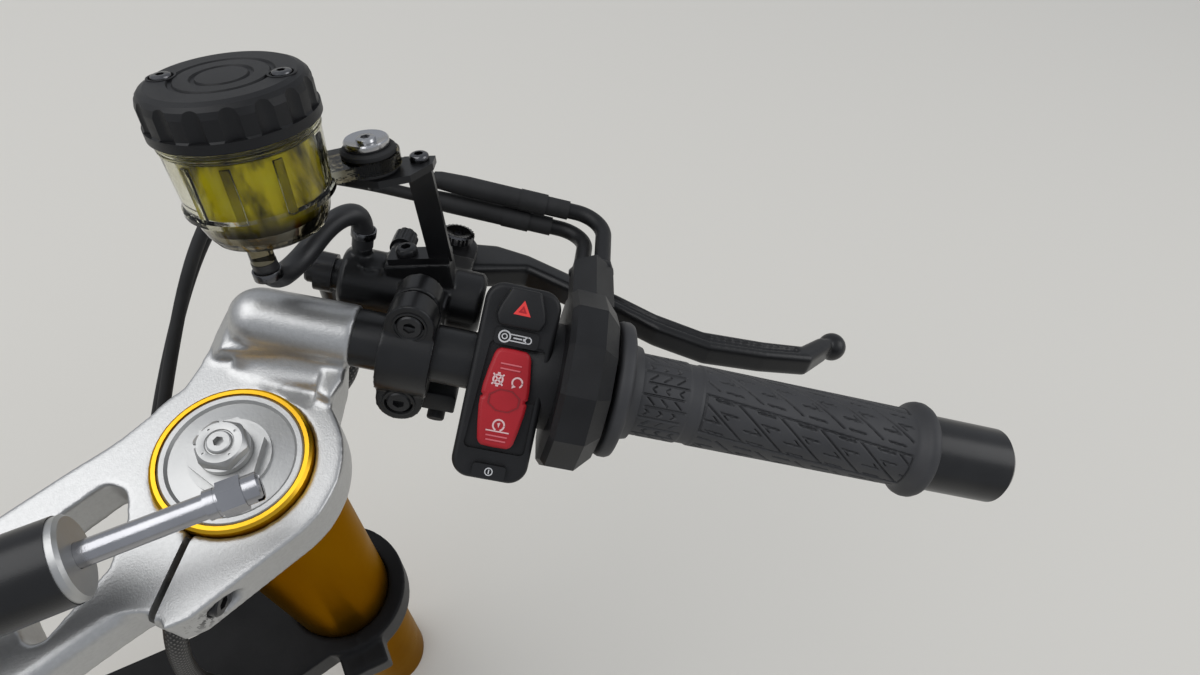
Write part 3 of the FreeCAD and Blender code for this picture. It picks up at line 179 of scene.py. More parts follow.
def braidedSleeve():
    # two sets of strands that wind round the hose against each other
    material, tree, shader = newMaterial("braidedHose")
    braid = {"scale": 5.33, "turns": (45, -45), "depth": 0.0004, "roughness": (0.32, 0.5),
             "stops": [(0.15, (0.004, 0.004, 0.004)), (0.5, (0.03, 0.028, 0.026)), (0.9, (0.14, 0.13, 0.12))]}
    route = tree.nodes.new("ShaderNodeUVMap")
    route.uv_map = "UVMap"
    crossing = tree.nodes.new("ShaderNodeMath")
    crossing.operation = "MULTIPLY"
    for turn, socket in zip(braid["turns"], crossing.inputs):
        mapping = addNode(tree, "ShaderNodeMapping", Rotation=(0, 0, math.radians(turn)))
        wave = addNode(tree, "ShaderNodeTexWave", Scale=braid["scale"], Distortion=0)
        tree.links.new(route.outputs["UV"], mapping.inputs["Vector"])
        tree.links.new(mapping.outputs["Vector"], wave.inputs["Vector"])
        tree.links.new(wave.outputs["Fac"], socket)
    weave = crossing.outputs["Value"]
    tree.links.new(addRamp(tree, weave, braid["stops"]), shader.inputs["Base Color"])
    addRoughness(tree, shader, 60, 4, *braid["roughness"])
    addBump(tree, shader, weave, 0.6, braid["depth"])
    return material


def clearPlastic():
    # painted shade: the clear shell is darker at its foot and along its ear
    material, tree, shader = newMaterial("clearPlastic")
    clear = {"colours": [(0.3, (0.58, 0.56, 0.42)), (0.7, (0.88, 0.88, 0.76))], "smoke": (0.16, 0.14, 0.09),
             "foot": (-0.031, -0.025), "earWay": (0.83, 0.56, 0), "ear": (0.0215, 0.0245), "bending": 1.28,
             "roughness": (0.02, 0.07), "waveDepth": 0.0008}
    tint = addRamp(tree, addNoise(tree, 90, 4, (1, 1, 0.25)), clear["colours"])
    # the dark colour mixed in at the foot and along the ear is painted shade
    foot = alongReservoir(tree, (0, 0, 1), clear["foot"])
    tint = mixColours(tree, foot, clear["smoke"], tint)
    ear = alongReservoir(tree, clear["earWay"], clear["ear"])
    tint = mixColours(tree, ear, tint, clear["smoke"])
    tree.links.new(tint, shader.inputs["Base Color"])
    shader.inputs["Transmission Weight"].default_value = 1.0
    shader.inputs["IOR"].default_value = clear["bending"]
    addRoughness(tree, shader, 40, 4, *clear["roughness"])
    addBump(tree, shader, addNoise(tree, 140, 3, (1, 1, 0.3)), 0.25, clear["waveDepth"])
    return material


def heightAlong(tree, origin, axis, reach):
    # how far a point lies along an axis of the part, from 0 to 1
    place = tree.nodes.new("ShaderNodeTexCoord").outputs["Object"]
    away = addVectorStep(tree, "SUBTRACT", place, origin)["Vector"]
    return addRange(tree, addVectorStep(tree, "DOT_PRODUCT", away, axis)["Value"], 0, 1, *reach)


def alongReservoir(tree, direction, reach):
    # the same, along a direction of the reservoir's own
    place = reservoirPlace()
    return heightAlong(tree, tuple(place.translation), tuple(place.to_3x3() @ Vector(direction)), reach)


def mixColours(tree, share, first, second):
    mix = tree.nodes.new("ShaderNodeMix")
    mix.data_type = "RGBA"
    for socket, source in ((mix.inputs["Factor"], share), (mix.inputs["A"], first), (mix.inputs["B"], second)):
        if isinstance(source, tuple):
            socket.default_value = (*source, 1)
        else:
            tree.links.new(source, socket)
    return mix.outputs["Result"]


def goldAnodised():
    # bright at the machined rim, darker on the tube below the yoke, where the darker colour is painted shade
    material, tree, shader = newMaterial("goldAnodised")
    gold = {"rim": ((0.66, 0.36, 0.02), (0.74, 0.43, 0.03)), "tube": ((0.24, 0.118, 0.014), (0.32, 0.168, 0.02)),
            "edge": (0.62, 0.42, 0.16, 1), "rimLevel": (-0.006, -0.002), "roughness": (0.24, 0.36)}
    # the darker tube colours stand for painted shade below the yoke
    rim, tube = (mottled(tree, 45, gold[name], (1, 1, 0.15)) for name in ("rim", "tube"))
    height = heightAlong(tree, (0, 0, 0), (0, 0, 1), gold["rimLevel"])
    tree.links.new(mixColours(tree, height, tube, rim), shader.inputs["Base Color"])
    shader.inputs["Metallic"].default_value = 1
    shader.inputs["Specular Tint"].default_value = gold["edge"]
    addRoughness(tree, shader, 30, 6, *gold["roughness"])
    addBump(tree, shader, addNoise(tree, 2600, 2, (0.04, 0.04, 1)), 0.1, 0.0001)
    return material


def brakeFluid():
    # yellow fluid, with dark streaks painted in as the shade that the ribbed shell throws over it, and painted shade
    # towards its bottom
    material, tree, shader = newMaterial("brakeFluid")
    fluid = {"stops": [(0.36, (0.07, 0.06, 0.002)), (0.46, (0.42, 0.35, 0.004)), (0.56, (0.86, 0.72, 0.005)),
                       (0.75, (0.95, 0.85, 0.02))],
             "bottom": (0.10, 0.085, 0.004), "bottomLevel": (-0.030, -0.021), "roughness": (0.05, 0.2)}
    # the dark end of the streak colours is painted shade from the shell's ribs
    streaks = addNoise(tree, 150, 3, (1, 1, 0.22))
    height = alongReservoir(tree, (0, 0, 1), fluid["bottomLevel"])
    # darker towards the bottom: painted shade
    colour = mixColours(tree, height, fluid["bottom"], addRamp(tree, streaks, fluid["stops"]))
    tree.links.new(colour, shader.inputs["Base Color"])
    tree.links.new(addRange(tree, streaks, *fluid["roughness"]), shader.inputs["Roughness"])
    addBump(tree, shader, streaks, 0.3, 0.001)
    return material


def makeMaterials():
    finishes = {
        "castSilver": {"colours": ((0.45, 0.45, 0.445), (0.50, 0.50, 0.495)), "roughness": (0.34, 0.43),
                       "metal": 0.88, "grainScale": 1500, "grainStrength": 0.34, "grainDepth": 0.00022,
                       "mottleScale": 700},
        "lowerCasting": {"colours": ((0.006, 0.006, 0.0065), (0.010, 0.010, 0.0105)), "roughness": (0.42, 0.52),
                         "grainScale": 1500, "grainStrength": 0.25, "specular": 0.14},
        "blackCasting": {"colours": ((0.006, 0.006, 0.0065), (0.012, 0.012, 0.0125)), "roughness": (0.26, 0.4),
                         "grainScale": 2200, "grainStrength": 0.15, "specular": 0.35},
        "machinedSilver": {"colours": ((0.42, 0.42, 0.415), (0.48, 0.48, 0.47)), "roughness": (0.36, 0.46),
                           "metal": 0.9, "grainScale": 900, "grainStrength": 0.25},
        "polishedSteel": {"colours": ((0.34, 0.34, 0.355), (0.42, 0.42, 0.435)), "roughness": (0.12, 0.22),
                          "metal": 1},
        "blackBar": {"colours": ((0.006, 0.006, 0.0065), (0.012, 0.012, 0.0125)), "roughness": (0.24, 0.36),
                     "specular": 0.4},
        "blackPlastic": {"colours": ((0.006, 0.006, 0.0065), (0.011, 0.011, 0.012)), "roughness": (0.38, 0.5),
                         "grainScale": 3500, "grainStrength": 0.4, "specular": 0.3},
        "redPlastic": {"colours": ((0.33, 0.008, 0.014), (0.40, 0.012, 0.02)), "roughness": (0.35, 0.45),
                       "specular": 0.35},
        "blackRubber": {"colours": ((0.012, 0.012, 0.0125), (0.022, 0.022, 0.0225)), "roughness": (0.6, 0.74),
                        "grainStrength": 0.3, "specular": 0.35},
        "boltBlack": {"colours": ((0.014, 0.014, 0.015), (0.026, 0.026, 0.027)), "roughness": (0.25, 0.4),
                      "metal": 0.4},
        "washerSteel": {"colours": ((0.42, 0.42, 0.43), (0.50, 0.50, 0.51)), "roughness": (0.14, 0.24), "metal": 1},
        "gripRubber": {"colours": ((0.024, 0.024, 0.026), (0.036, 0.036, 0.038)), "roughness": (0.5, 0.64),
                       "grainScale": 3000, "grainStrength": 0.25, "grainDepth": 0.0001},
        "hoseRubber": {"colours": ((0.014, 0.014, 0.015), (0.026, 0.026, 0.027)), "roughness": (0.34, 0.46)},
        "darkSteel": {"colours": ((0.10, 0.10, 0.105), (0.15, 0.15, 0.155)), "roughness": (0.14, 0.26), "metal": 1},
        "signRed": {"colours": ((0.70, 0.03, 0.03), (0.78, 0.045, 0.04)), "roughness": (0.4, 0.5)},
        "signGrey": {"colours": ((0.50, 0.50, 0.50), (0.58, 0.58, 0.58)), "roughness": (0.45, 0.55)},
        "signPink": {"colours": ((0.64, 0.42, 0.42), (0.72, 0.50, 0.50)), "roughness": (0.45, 0.55)},
        "signPinkDim": {"colours": ((0.55, 0.10, 0.12), (0.62, 0.14, 0.16)), "roughness": (0.4, 0.5)},
        "redShadow": {"colours": ((0.18, 0.004, 0.008), (0.24, 0.008, 0.012)), "roughness": (0.4, 0.5)},
    }
    for name, values in finishes.items():
        materials[name] = surface(name, values)
    addScuffs(materials["castSilver"])
    materials["braidedHose"] = braidedSleeve()
    materials["clearPlastic"] = clearPlastic()
    materials["goldAnodised"] = goldAnodised()
    materials["brakeFluid"] = brakeFluid()
    print("materials made:", len(materials))


def dress(piece, slotName, finish=None):
    # a slot such as black_plastic has its finish under the name blackPlastic
    first, *others = slotName.split("_")
    finish = finish or first + "".join(word.capitalize() for word in others)
    piece.data.materials.clear()
    piece.data.materials.append(materials[finish])


def dressNodes():
    for part in frame["record"]["subparts"]:
        dress(nodes[part["node"]], part["material_slot"])
    print("nodes dressed")


# places along the bars

barValues = {"start": (0.1526, 0.0577, 0.007), "sweep": 32.2, "droop": 7.4, "tilt": 24}
faceWay = {"out": (-0.841, 0.541), "up": (0.541, 0.841)}  # the switches face the rider
switchesAlong = 58  # the middle of the switches, in mm along the bar


def barAxes(side):
    sweep, droop, tilt = (math.radians(barValues[name]) for name in ("sweep", "droop", "tilt"))
    outward = Vector((side * math.cos(droop) * math.cos(sweep), -math.cos(droop) * math.sin(sweep), -math.sin(droop)))
    level = Vector((side * math.sin(sweep), math.cos(sweep), 0))
    above = outward.cross(level) * side
    ahead = level * math.cos(tilt) - above * math.sin(tilt)
    up = level * math.sin(tilt) + above * math.cos(tilt)
    return ahead, up, outward


def barPoint(side, forward, up, along):
    ahead, above, outward = barAxes(side)
    x, y, z = barValues["start"]
    return Vector((side * x, y, z)) + (ahead * forward + above * up + outward * along) / 1000


def axesAt(place, across, upward, out):
    matrix = Matrix((across, upward, out)).transposed().to_4x4()
    matrix.translation = place
    return matrix


def alongBar(side, forward=0, up=0, along=0):
    ahead, above, outward = barAxes(side)
    return axesAt(barPoint(side, forward, up, along), ahead, above * side, outward)


def acrossBar(side, forward=0, up=0, along=0):
    ahead, above, outward = barAxes(side)
    return axesAt(barPoint(side, forward, up, along), outward, ahead * side, above)


def aheadOfBar(side, forward=0, up=0, along=0):
    ahead, above, outward = barAxes(side)
    return axesAt(barPoint(side, forward, up, along), above, outward * side, ahead)


def facingRider(side, stand, drop, along):
    # local Z towards the rider, local Y up the face of the switches, local X outwards
    ahead, above, outward = barAxes(side)
    towards = ahead * faceWay["out"][0] + above * faceWay["out"][1]
    upward = ahead * faceWay["up"][0] + above * faceWay["up"][1]
    place = barPoint(side, 0, 0, along) + (towards * stand + upward * drop) / 1000
    return axesAt(place, outward * side, upward, towards)


def reservoirPlace(x=0, y=0, height=0):
    # on the reservoir's own axis, at the lower edge of its cap, or beside it in mm
    reservoir = {"lean": 16.7, "rake": 2.3, "place": (-11, 80.5, -38.2)}
    ahead, above, outward = barAxes(1)
    lean, rake = math.radians(reservoir["lean"]), math.radians(reservoir["rake"])
    axis = above * math.cos(lean) - outward * math.sin(lean)
    axis = axis * math.cos(rake) - ahead * math.sin(rake)
    across = outward * math.cos(lean) + above * math.sin(lean)
    matrix = axesAt(barPoint(1, *reservoir["place"]), across, axis.cross(across), axis)
    return matrix @ shifted(x, y, height)


# shaping helpers

def openEdit():
    bpy.ops.object.mode_set(mode="EDIT")
    bpy.ops.mesh.select_all(action="SELECT")


def closeEdit():
    bpy.ops.object.mode_set(mode="OBJECT")


def selectFaces(piece, wanted):
    # faces chosen by their centre and normal, with edit mode left open
    bpy.ops.mesh.select_all(action="DESELECT")
    bpy.ops.mesh.select_mode(type="FACE")
    closeEdit()
    for face in piece.data.polygons:
        face.select = wanted(face.center, face.normal)
    bpy.ops.object.mode_set(mode="EDIT")


def chooseOnly(piece):
    deselectAll()
    piece.select_set(True)
    bpy.context.view_layer.objects.active = piece


def settle(piece, name, place, slotName, finish=None, body="steering", angle=35):
    # into its place, its normals outwards, its finish on, riding on its body
    chooseOnly(piece)
    openEdit()
    bpy.ops.mesh.remove_doubles(threshold=0.000002)
    bpy.ops.mesh.normals_make_consistent(inside=False)
    closeEdit()
    bpy.ops.object.shade_smooth_by_angle(angle=math.radians(angle))
    piece.name = name
    piece.data.transform(place)
    dress(piece, slotName, finish)
    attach(piece, body)


def discShape(radius, sides):
    # a flat disc in mm, with edit mode left open
    deselectAll()
    bpy.ops.mesh.primitive_circle_add(vertices=sides, radius=radius / 1000, fill_type="NGON")
    openEdit()
    return bpy.context.object


def openRing(outer, inner, sides):
    # a flat disc with its middle out, with edit mode left open
    piece = discShape(outer, sides)
    bpy.ops.mesh.inset(thickness=(outer - inner) / 1000)
    bpy.ops.mesh.delete(type="FACE")
    return piece


def lift(height):
    bpy.ops.transform.translate(value=(0, 0, height / 1000))


def raiseFaces(height):
    bpy.ops.mesh.extrude_region()
    lift(height)


def shifted(x, y, z=0):
    # a move in mm
    return Matrix.Translation((x / 1000, y / 1000, z / 1000))


def turned(angle, axis="Z"):
    return Matrix.Rotation(math.radians(angle), 4, axis)


def turnShape(profile, sides=48):
    # a turned shape: a filled circle extruded step by step, from pairs of radius and height in mm
    radius, height = profile[0]
    piece = discShape(radius, sides)
    lift(height)
    for (radius, height), (nextRadius, nextHeight) in zip(profile, profile[1:]):
        bpy.ops.mesh.extrude_region()
        ratio = nextRadius / radius
        bpy.ops.transform.resize(value=(ratio, ratio, 1), center_override=(0, 0, 0))
        lift(nextHeight - height)
    closeEdit()
    return piece


def turnRing(inner, outer, low, high, bevel=0.3, sides=64):
    # a ring with softened edges
    piece = openRing(outer, inner, sides)
    bpy.ops.mesh.select_all(action="SELECT")
    lift(low)
    raiseFaces(high - low)
    bpy.ops.mesh.select_all(action="SELECT")
    closeEdit()
    softenEdges(piece, bevel)
    return piece


def softenEdges(piece, width, steps=2, angle=50):
    modifier = piece.modifiers.new("soften", "BEVEL")
    modifier.width = width / 1000
    modifier.segments = steps
    modifier.limit_method = "ANGLE"
    modifier.angle_limit = math.radians(angle)
    bpy.context.view_layer.objects.active = piece
    bpy.ops.object.modifier_apply(modifier="soften")


def cutAway(piece, tools):
    # what the tools cover is cut off
    for tool in tools:
        modifier = piece.modifiers.new("cut", "BOOLEAN")
        modifier.operation = "DIFFERENCE"
        modifier.object = tool
        bpy.context.view_layer.objects.active = piece
        bpy.ops.object.modifier_apply(modifier="cut")
        bpy.data.objects.remove(tool)


def cutSocket(piece, radius, floor, sides=6, centre=(0, 0)):
    # a socket with straight sides, open upwards
    length = 20
    deselectAll()
    bpy.ops.mesh.primitive_cylinder_add(vertices=sides, radius=radius / 1000, depth=length / 1000)
    tool = bpy.context.object
    tool.data.transform(shifted(*centre, floor + length / 2))
    cutAway(piece, [tool])


def flatRing(x, y, outer, inner, arc=(0, 360), sides=32):
    # a flat ring or a part of one, in mm
    piece = openRing(outer, inner, sides)

    def outside(centre, normal):
        turn = math.degrees(math.atan2(centre.y, centre.x)) % 360
        return not arc[0] <= turn <= arc[1]
    selectFaces(piece, outside)
    bpy.ops.mesh.delete(type="FACE")
    closeEdit()
    piece.data.transform(shifted(x, y))
    return piece


def flatBar(x, y, width, height, turn=0):
    deselectAll()
    bpy.ops.mesh.primitive_plane_add(size=0.001)
    piece = bpy.context.object
    openEdit()
    bpy.ops.transform.resize(value=(width, height, 1), center_override=(0, 0, 0))
    bpy.ops.mesh.subdivide(number_cuts=1)
    closeEdit()
    piece.data.transform(shifted(x, y) @ turned(turn))
    return piece


def flatPolygon(x, y, radius, sides, turn=0, stretch=(1, 1)):
    piece = discShape(radius, sides)
    bpy.ops.mesh.inset(thickness=radius / 5000)
    closeEdit()
    piece.data.transform(shifted(x, y) @ Matrix.Diagonal((*stretch, 1, 1)) @ turned(turn))
    return piece


def joinFlat(shapes, thickness):
    # flat shapes joined and given a thickness
    deselectAll()
    for shape in shapes:
        shape.select_set(True)
    bpy.context.view_layer.objects.active = shapes[0]
    if len(shapes) > 1:
        bpy.ops.object.join()
    piece = bpy.context.object
    openEdit()
    raiseFaces(thickness)
    closeEdit()
    return piece


# grips

def addGrips():
    # radii and places along the bar in mm; the pattern is pressed in with grooves
    grip = {
        "bodyRadius": 16.4, "around": 304, "lengthStep": 0.4,
        "outline": [(11.2, 97), (25, 97), (26.4, 97.5), (27, 98.8), (27, 101.2), (26.4, 102.5), (25, 103),
                    (21, 103.7), (19.2, 105), (18.4, 108)],
        "patterned": (108.4, 222.6), "bandStart": 127.5, "bandStop": 133,
        "ending": [(16.4, 223.4), (17.2, 224.8), (18.6, 226.2), (19.6, 227.3), (20, 228.6), (20, 230.2),
                   (19.4, 231.6), (18.4, 232.3), (17, 232.6), (11.2, 232.6)],
        "grooveDepth": 0.75, "grooveWidth": 0.5, "bandDepth": 0.45, "bandSlope": 0.6, "margin": 0.8, "endMargin": 0.6,
        "collarRows": 22, "stagger": 1.4, "marks": 3, "firstMark": 3.2, "markGap": 5.4, "markHalf": 1.3,
        "panels": 6, "panelDrift": 0.09, "panelShift": 5.3, "frameEdge": 0.9, "insets": (1.0, 1.8),
        "diagonalTurn": 33, "diagonalGap": 9.4, "strokeGap": 4.3, "strokes": ((3.9, 7.7), (1.7, 5.4)),
        "strokeStretch": 1.6, "hook": 2.3,
    }
    girth = 2 * math.pi * grip["bodyRadius"]
    panelWidth = girth / grip["panels"]
    tilt = math.radians(grip["diagonalTurn"])
    width = grip["grooveWidth"]

    def dent(distance):
        return max(0.0, min(1.0, (width - distance) / (width * 0.55)))

    def stroke(x, y, startX, stopX, lineY):
        # how deep a point lies in a short groove along X
        beyond = max(startX - x, x - stopX, 0)
        return dent(math.hypot(beyond, y - lineY))

    def tick(x, y, lineX, startY, stopY):
        beyond = max(startY - y, y - stopY, 0)
        return dent(math.hypot(x - lineX, beyond))

    def collarPattern(along, girthWay):
        # close strokes along the grip with a small slanted mark between them
        gap = girth / grip["collarRows"]
        row = math.floor(girthWay / gap)
        y = girthWay - row * gap
        start, stop = grip["patterned"][0] + grip["margin"], grip["bandStart"] - grip["margin"]
        shift = grip["stagger"] if row % 2 else 0
        deep = stroke(along, y, start + shift, stop - grip["stagger"] + shift, gap / 2)
        slant = 1 if row % 4 < 2 else -1
        for mark in range(grip["marks"]):
            x = start + grip["firstMark"] + grip["markGap"] * mark
            for beside in (y - gap, y):
                if abs(beside) < grip["markHalf"]:
                    deep = max(deep, dent(abs((along - x) * 0.8 - slant * beside * 0.9)))
        return deep

    def mainPattern(along, girthWay):
        start, stop = grip["bandStop"] + grip["margin"], grip["patterned"][1] - grip["endMargin"]
        y = (girthWay - grip["panelDrift"] * (along - start)) % girth
        panel = math.floor(y / panelWidth)
        y -= panel * panelWidth
        framed = panel % 2 == 0
        deep = 0.0
        if framed:
            edges = (grip["frameEdge"], panelWidth - grip["frameEdge"])
            deep = max([stroke(along, y, start, stop, edge) for edge in edges]
                       + [tick(along, y, end, *edges) for end in (start, stop)])
        inset = grip["insets"][panel % 2]
        if not (inset < y < panelWidth - inset and start + 0.4 < along < stop - 0.4):
            return deep
        across = (along + panel * grip["panelShift"]) * math.sin(tilt) - y * math.cos(tilt)
        band = math.floor(across / grip["diagonalGap"])
        e = across - band * grip["diagonalGap"]
        deep = max(deep, dent(min(e, grip["diagonalGap"] - e)))
        row = math.floor(y / grip["strokeGap"])
        rowY = (row + 0.5) * grip["strokeGap"]
        wide = grip["strokeStretch"]
        low, high = grip["strokes"][row % 2]
        deep = max(deep, stroke(e * wide, y, low * wide, high * wide, rowY))
        end = low if row % 2 else high
        hook = (rowY, rowY + grip["hook"]) if row % 2 else (rowY - grip["hook"], rowY)
        return max(deep, tick(e * wide, y, end * wide, *hook))

    def radiusAt(along, turn):
        girthWay = (turn % 1) * girth
        base = grip["bodyRadius"]
        if along < grip["bandStart"]:
            deep = collarPattern(along, girthWay)
        elif along < grip["bandStop"]:
            edge = min(along - grip["bandStart"], grip["bandStop"] - along)
            return base - grip["bandDepth"] * min(1, edge / grip["bandSlope"])
        else:
            deep = mainPattern(along, girthWay)
        return base - grip["grooveDepth"] * deep

    first, last = grip["patterned"]
    steps = round((last - first) / grip["lengthStep"])
    rings = [("plain", pair) for pair in grip["outline"]]
    rings += [("cut", first + (last - first) * step / steps) for step in range(steps + 1)]
    rings += [("plain", pair) for pair in grip["ending"]]
    around = grip["around"]
    deselectAll()
    bpy.ops.mesh.primitive_grid_add(x_subdivisions=around, y_subdivisions=len(rings), size=1)
    piece = bpy.context.object
    for vertex in piece.data.vertices:
        column = round((vertex.co.x + 0.5) * around)
        kind, value = rings[min(len(rings) - 1, round((vertex.co.y + 0.5) * len(rings)))]
        turn = (column % around) / around
        radius, along = value if kind == "plain" else (radiusAt(value, turn), value)
        angle = turn * 2 * math.pi
        vertex.co = (radius * math.cos(angle) / 1000, radius * math.sin(angle) / 1000, along / 1000)
    openEdit()
    bpy.ops.mesh.remove_doubles(threshold=0.000002)
    bpy.ops.mesh.select_all(action="DESELECT")
    bpy.ops.mesh.select_non_manifold()
    bpy.ops.mesh.bridge_edge_loops()
    closeEdit()
    copied = addObject("gripLeft", piece.data.copy())
    settle(piece, "gripRight", alongBar(1), "black_rubber", "gripRubber", "throttle_body", 60)
    settle(copied, "gripLeft", alongBar(-1), "black_rubber", "gripRubber", angle=60)
    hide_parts("grip_right")
    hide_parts("grip_left")
    print("grips shaped:", len(piece.data.polygons), "faces")


# hoses and cables

def routePoints(points):
    # points read from the route's own smooth curve
    density = 12
    data = bpy.data.curves.new("route", "CURVE")
    data.dimensions = "3D"
    spline = data.splines.new("NURBS")
    spline.points.add(len(points) - 1)
    for target, point in zip(spline.points, points):
        target.co = (*point, 1)
    spline.order_u = 3
    spline.use_endpoint_u = True
    spline.resolution_u = density
    line = addObject("route", data)
    bpy.context.view_layer.update()
    mesh = bpy.data.meshes.new_from_object(line)
    found = [vertex.co.copy() for vertex in mesh.vertices]
    bpy.data.objects.remove(line)
    bpy.data.meshes.remove(mesh)
    return found


def addTube(values):
    # a tube that follows its route, with a map that runs round and along it
    path = routePoints(values["route"])
    sides, radius = values["sides"], values["radius"] / 1000
    heading = (path[1] - path[0]).normalized()
    across = heading.orthogonal().normalized()
    vertices, faces, lengths = [], [], [0.0]
    for index, point in enumerate(path):
        following = path[min(index + 1, len(path) - 1)]
        former = path[max(index - 1, 0)]
        newHeading = (following - former).normalized()
        across = heading.rotation_difference(newHeading) @ across
        heading = newHeading
        side = heading.cross(across)
        for corner in range(sides):
            angle = 2 * math.pi * corner / sides
            vertices.append(point + (across * math.cos(angle) + side * math.sin(angle)) * radius)
        if index:
            lengths.append(lengths[-1] + (point - former).length)
    for ring in range(len(path) - 1):
        for corner in range(sides):
            nextCorner = (corner + 1) % sides
            faces.append((ring * sides + corner, ring * sides + nextCorner,
                          (ring + 1) * sides + nextCorner, (ring + 1) * sides + corner))
    faces.append(tuple(reversed(range(sides))))
    faces.append(tuple((len(path) - 1) * sides + corner for corner in range(sides)))
    mesh = bpy.data.meshes.new(values["name"])
    mesh.from_pydata([tuple(vertex) for vertex in vertices], [], faces)
    layer = mesh.uv_layers.new(name="UVMap")
    for faceIndex, face in enumerate(mesh.polygons):
        for loopIndex in face.loop_indices:
            ring, corner = divmod(mesh.loops[loopIndex].vertex_index, sides)
            closing = faceIndex % sides == sides - 1 and corner == 0
            layer.data[loopIndex].uv = (1 if closing else corner / sides, lengths[ring] / (2 * math.pi * radius))
    piece = addObject(values["name"], mesh)
    settle(piece, values["name"], Matrix.Identity(4), values["slot"], values["finish"])
    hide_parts(values["node"])


def addHoses():
    # routes in mm, down to the lower yoke
    feed = {"name": "feedHose", "node": "reservoir_hose", "slot": "black_rubber", "finish": "hoseRubber",
            "radius": 4.2, "sides": 20, "outlet": [(-7, 0, -49), (-7, 0, -58)],
            "bar": [(10, 20, -25), (25, 34, -17), (34, 34, -7.4), (34, 19, -7.4)]}
    brake = {"name": "brakeLine", "node": "brake_hose", "slot": "braided_hose", "finish": "braidedHose",
             "radius": 4.4, "sides": 28, "banjo": (34, 3, -20.5), "drops": (20, 28),
             "world": [(146, 80, -64), (112, 80, -84), (76, 62, -80), (56, 30, -70), (46, 8, -84), (37, 1, -120),
                       (33, 2, -160), (32, 6, -199)]}
    cable = {"slot": "black_rubber", "finish": "blackRubber", "radius": 2.75, "sides": 16,
             "towerUp": 21, "along": 85.5, "corner": (86, 2.8, 1), "straight": (66, 84),
             "bar": [(86, 2.8, -105), (72, 3, -141), (58, -21, -165)],
             "world": [(62, 98, -70), (34, 76, -130), (22, 60, -199)], "drift": (1, -3.2, 1.6)}
    clip = {"ring": (4.1, 4.9, -1.6, 1.6, 0.2), "top": (-7, 0, -54), "foot": (34, 25, -7.4)}
    feed["route"] = [reservoirPlace(*place).translation for place in feed["outlet"]]
    feed["route"] += [barPoint(1, *place) for place in feed["bar"]]
    addTube(feed)
    firstDrop, nextDrop = (Vector((0, 0, drop / 1000)) for drop in brake["drops"])
    neck = barPoint(1, *brake["banjo"]) - firstDrop
    brake["route"] = [neck, neck - nextDrop] + [Vector(point) / 1000 for point in brake["world"]]
    addTube(brake)

    def cablePoint(way, place, forward, rise, shift):
        # each cable keeps to its own side
        return barPoint(1, place[0] + forward * way, cable["towerUp"] + place[1] + rise * way,
                        cable["along"] + place[2] + shift * way)

    for word, way in (("Pull", 1), ("Return", -1)):
        corner, far = cablePoint(way, cable["corner"], 0, 5, 3), cablePoint(way, cable["bar"][0], 0, 5, 0)
        onward = (far - corner).normalized()
        route = [corner + onward * (reach / 1000) for reach in cable["straight"]] + [far]
        route += [cablePoint(way, place, -2.6, 2.4, 0) for place in cable["bar"][1:]]
        route += [(Vector(point) + Vector(cable["drift"]) * way) / 1000 for point in cable["world"]]
        addTube({**cable, "name": "throttleCable" + word, "node": "throttle_cable_" + word.lower(), "route": route})
    for name, place in (("hoseClipTop", reservoirPlace(*clip["top"])), ("hoseClipFoot", acrossBar(1, *clip["foot"]))):
        settle(turnRing(*clip["ring"]), name, place, "polished_steel", "darkSteel")
    print("hoses and cables run")


# screws and small fittings

def addScrew(name, place, values, finish):
    # a pan-head screw with a hexagon socket
    radius, height = values["radius"], values["height"]
    head = [(0.96, 0), (1, 0.12), (1, 0.55), (0.94, 0.8), (0.8, 0.95), (0.62, 1)]
    piece = turnShape([(radius * across, height * level) for across, level in head], 40)
    cutSocket(piece, values["socket"], height - values["deep"])
    settle(piece, name, place, "bolt_black", finish)


def addScrews():
    capScrew = {"radius": 3.0, "height": 1.5, "socket": 1.3, "deep": 0.8, "across": 17.5, "level": 12.9,
                "ring": (3.5, 4.2, 13.3, 13.75, 0.15)}
    footScrew = {"radius": 4.2, "height": 3.2, "socket": 2.1, "deep": 2.0, "place": (30, 38.5, -71.5)}
    topScrew = {"radius": 3.4, "height": 2.4, "socket": 1.7, "deep": 1.6, "place": (45, 27, -27)}
    dish = {"profile": [(7.3, -18.1), (7.5, -17.6), (7.5, -16.2), (7.1, -15.7), (6.6, -15.8), (4.2, -16.4),
                        (3.4, -16.4), (3.1, -15.5), (2.6, -15.2)],
            "socket": 1.7, "floor": -16.4, "place": (30.2, 20.5)}
    for word, way in (("Left", -1), ("Right", 1)):
        across = capScrew["across"] * way
        addScrew("capScrew" + word, reservoirPlace(across, 0, capScrew["level"]), capScrew, "darkSteel")
        settle(turnRing(*capScrew["ring"]), "capScrewRing" + word, reservoirPlace(across), "black_plastic")
    washer = turnShape(dish["profile"], 56)
    cutSocket(washer, dish["socket"], dish["floor"])
    settle(washer, "earWasher", reservoirPlace(*dish["place"]), "polished_steel", "washerSteel")
    addScrew("footScrew", reservoirPlace(*footScrew["place"]), footScrew, "boltBlack")
    addScrew("bracketScrew", reservoirPlace(*topScrew["place"]), topScrew, "darkSteel")
    for word, side in (("Right", 1), ("Left", -1)):
        addPivotNut(word, side)
    print("screws set")


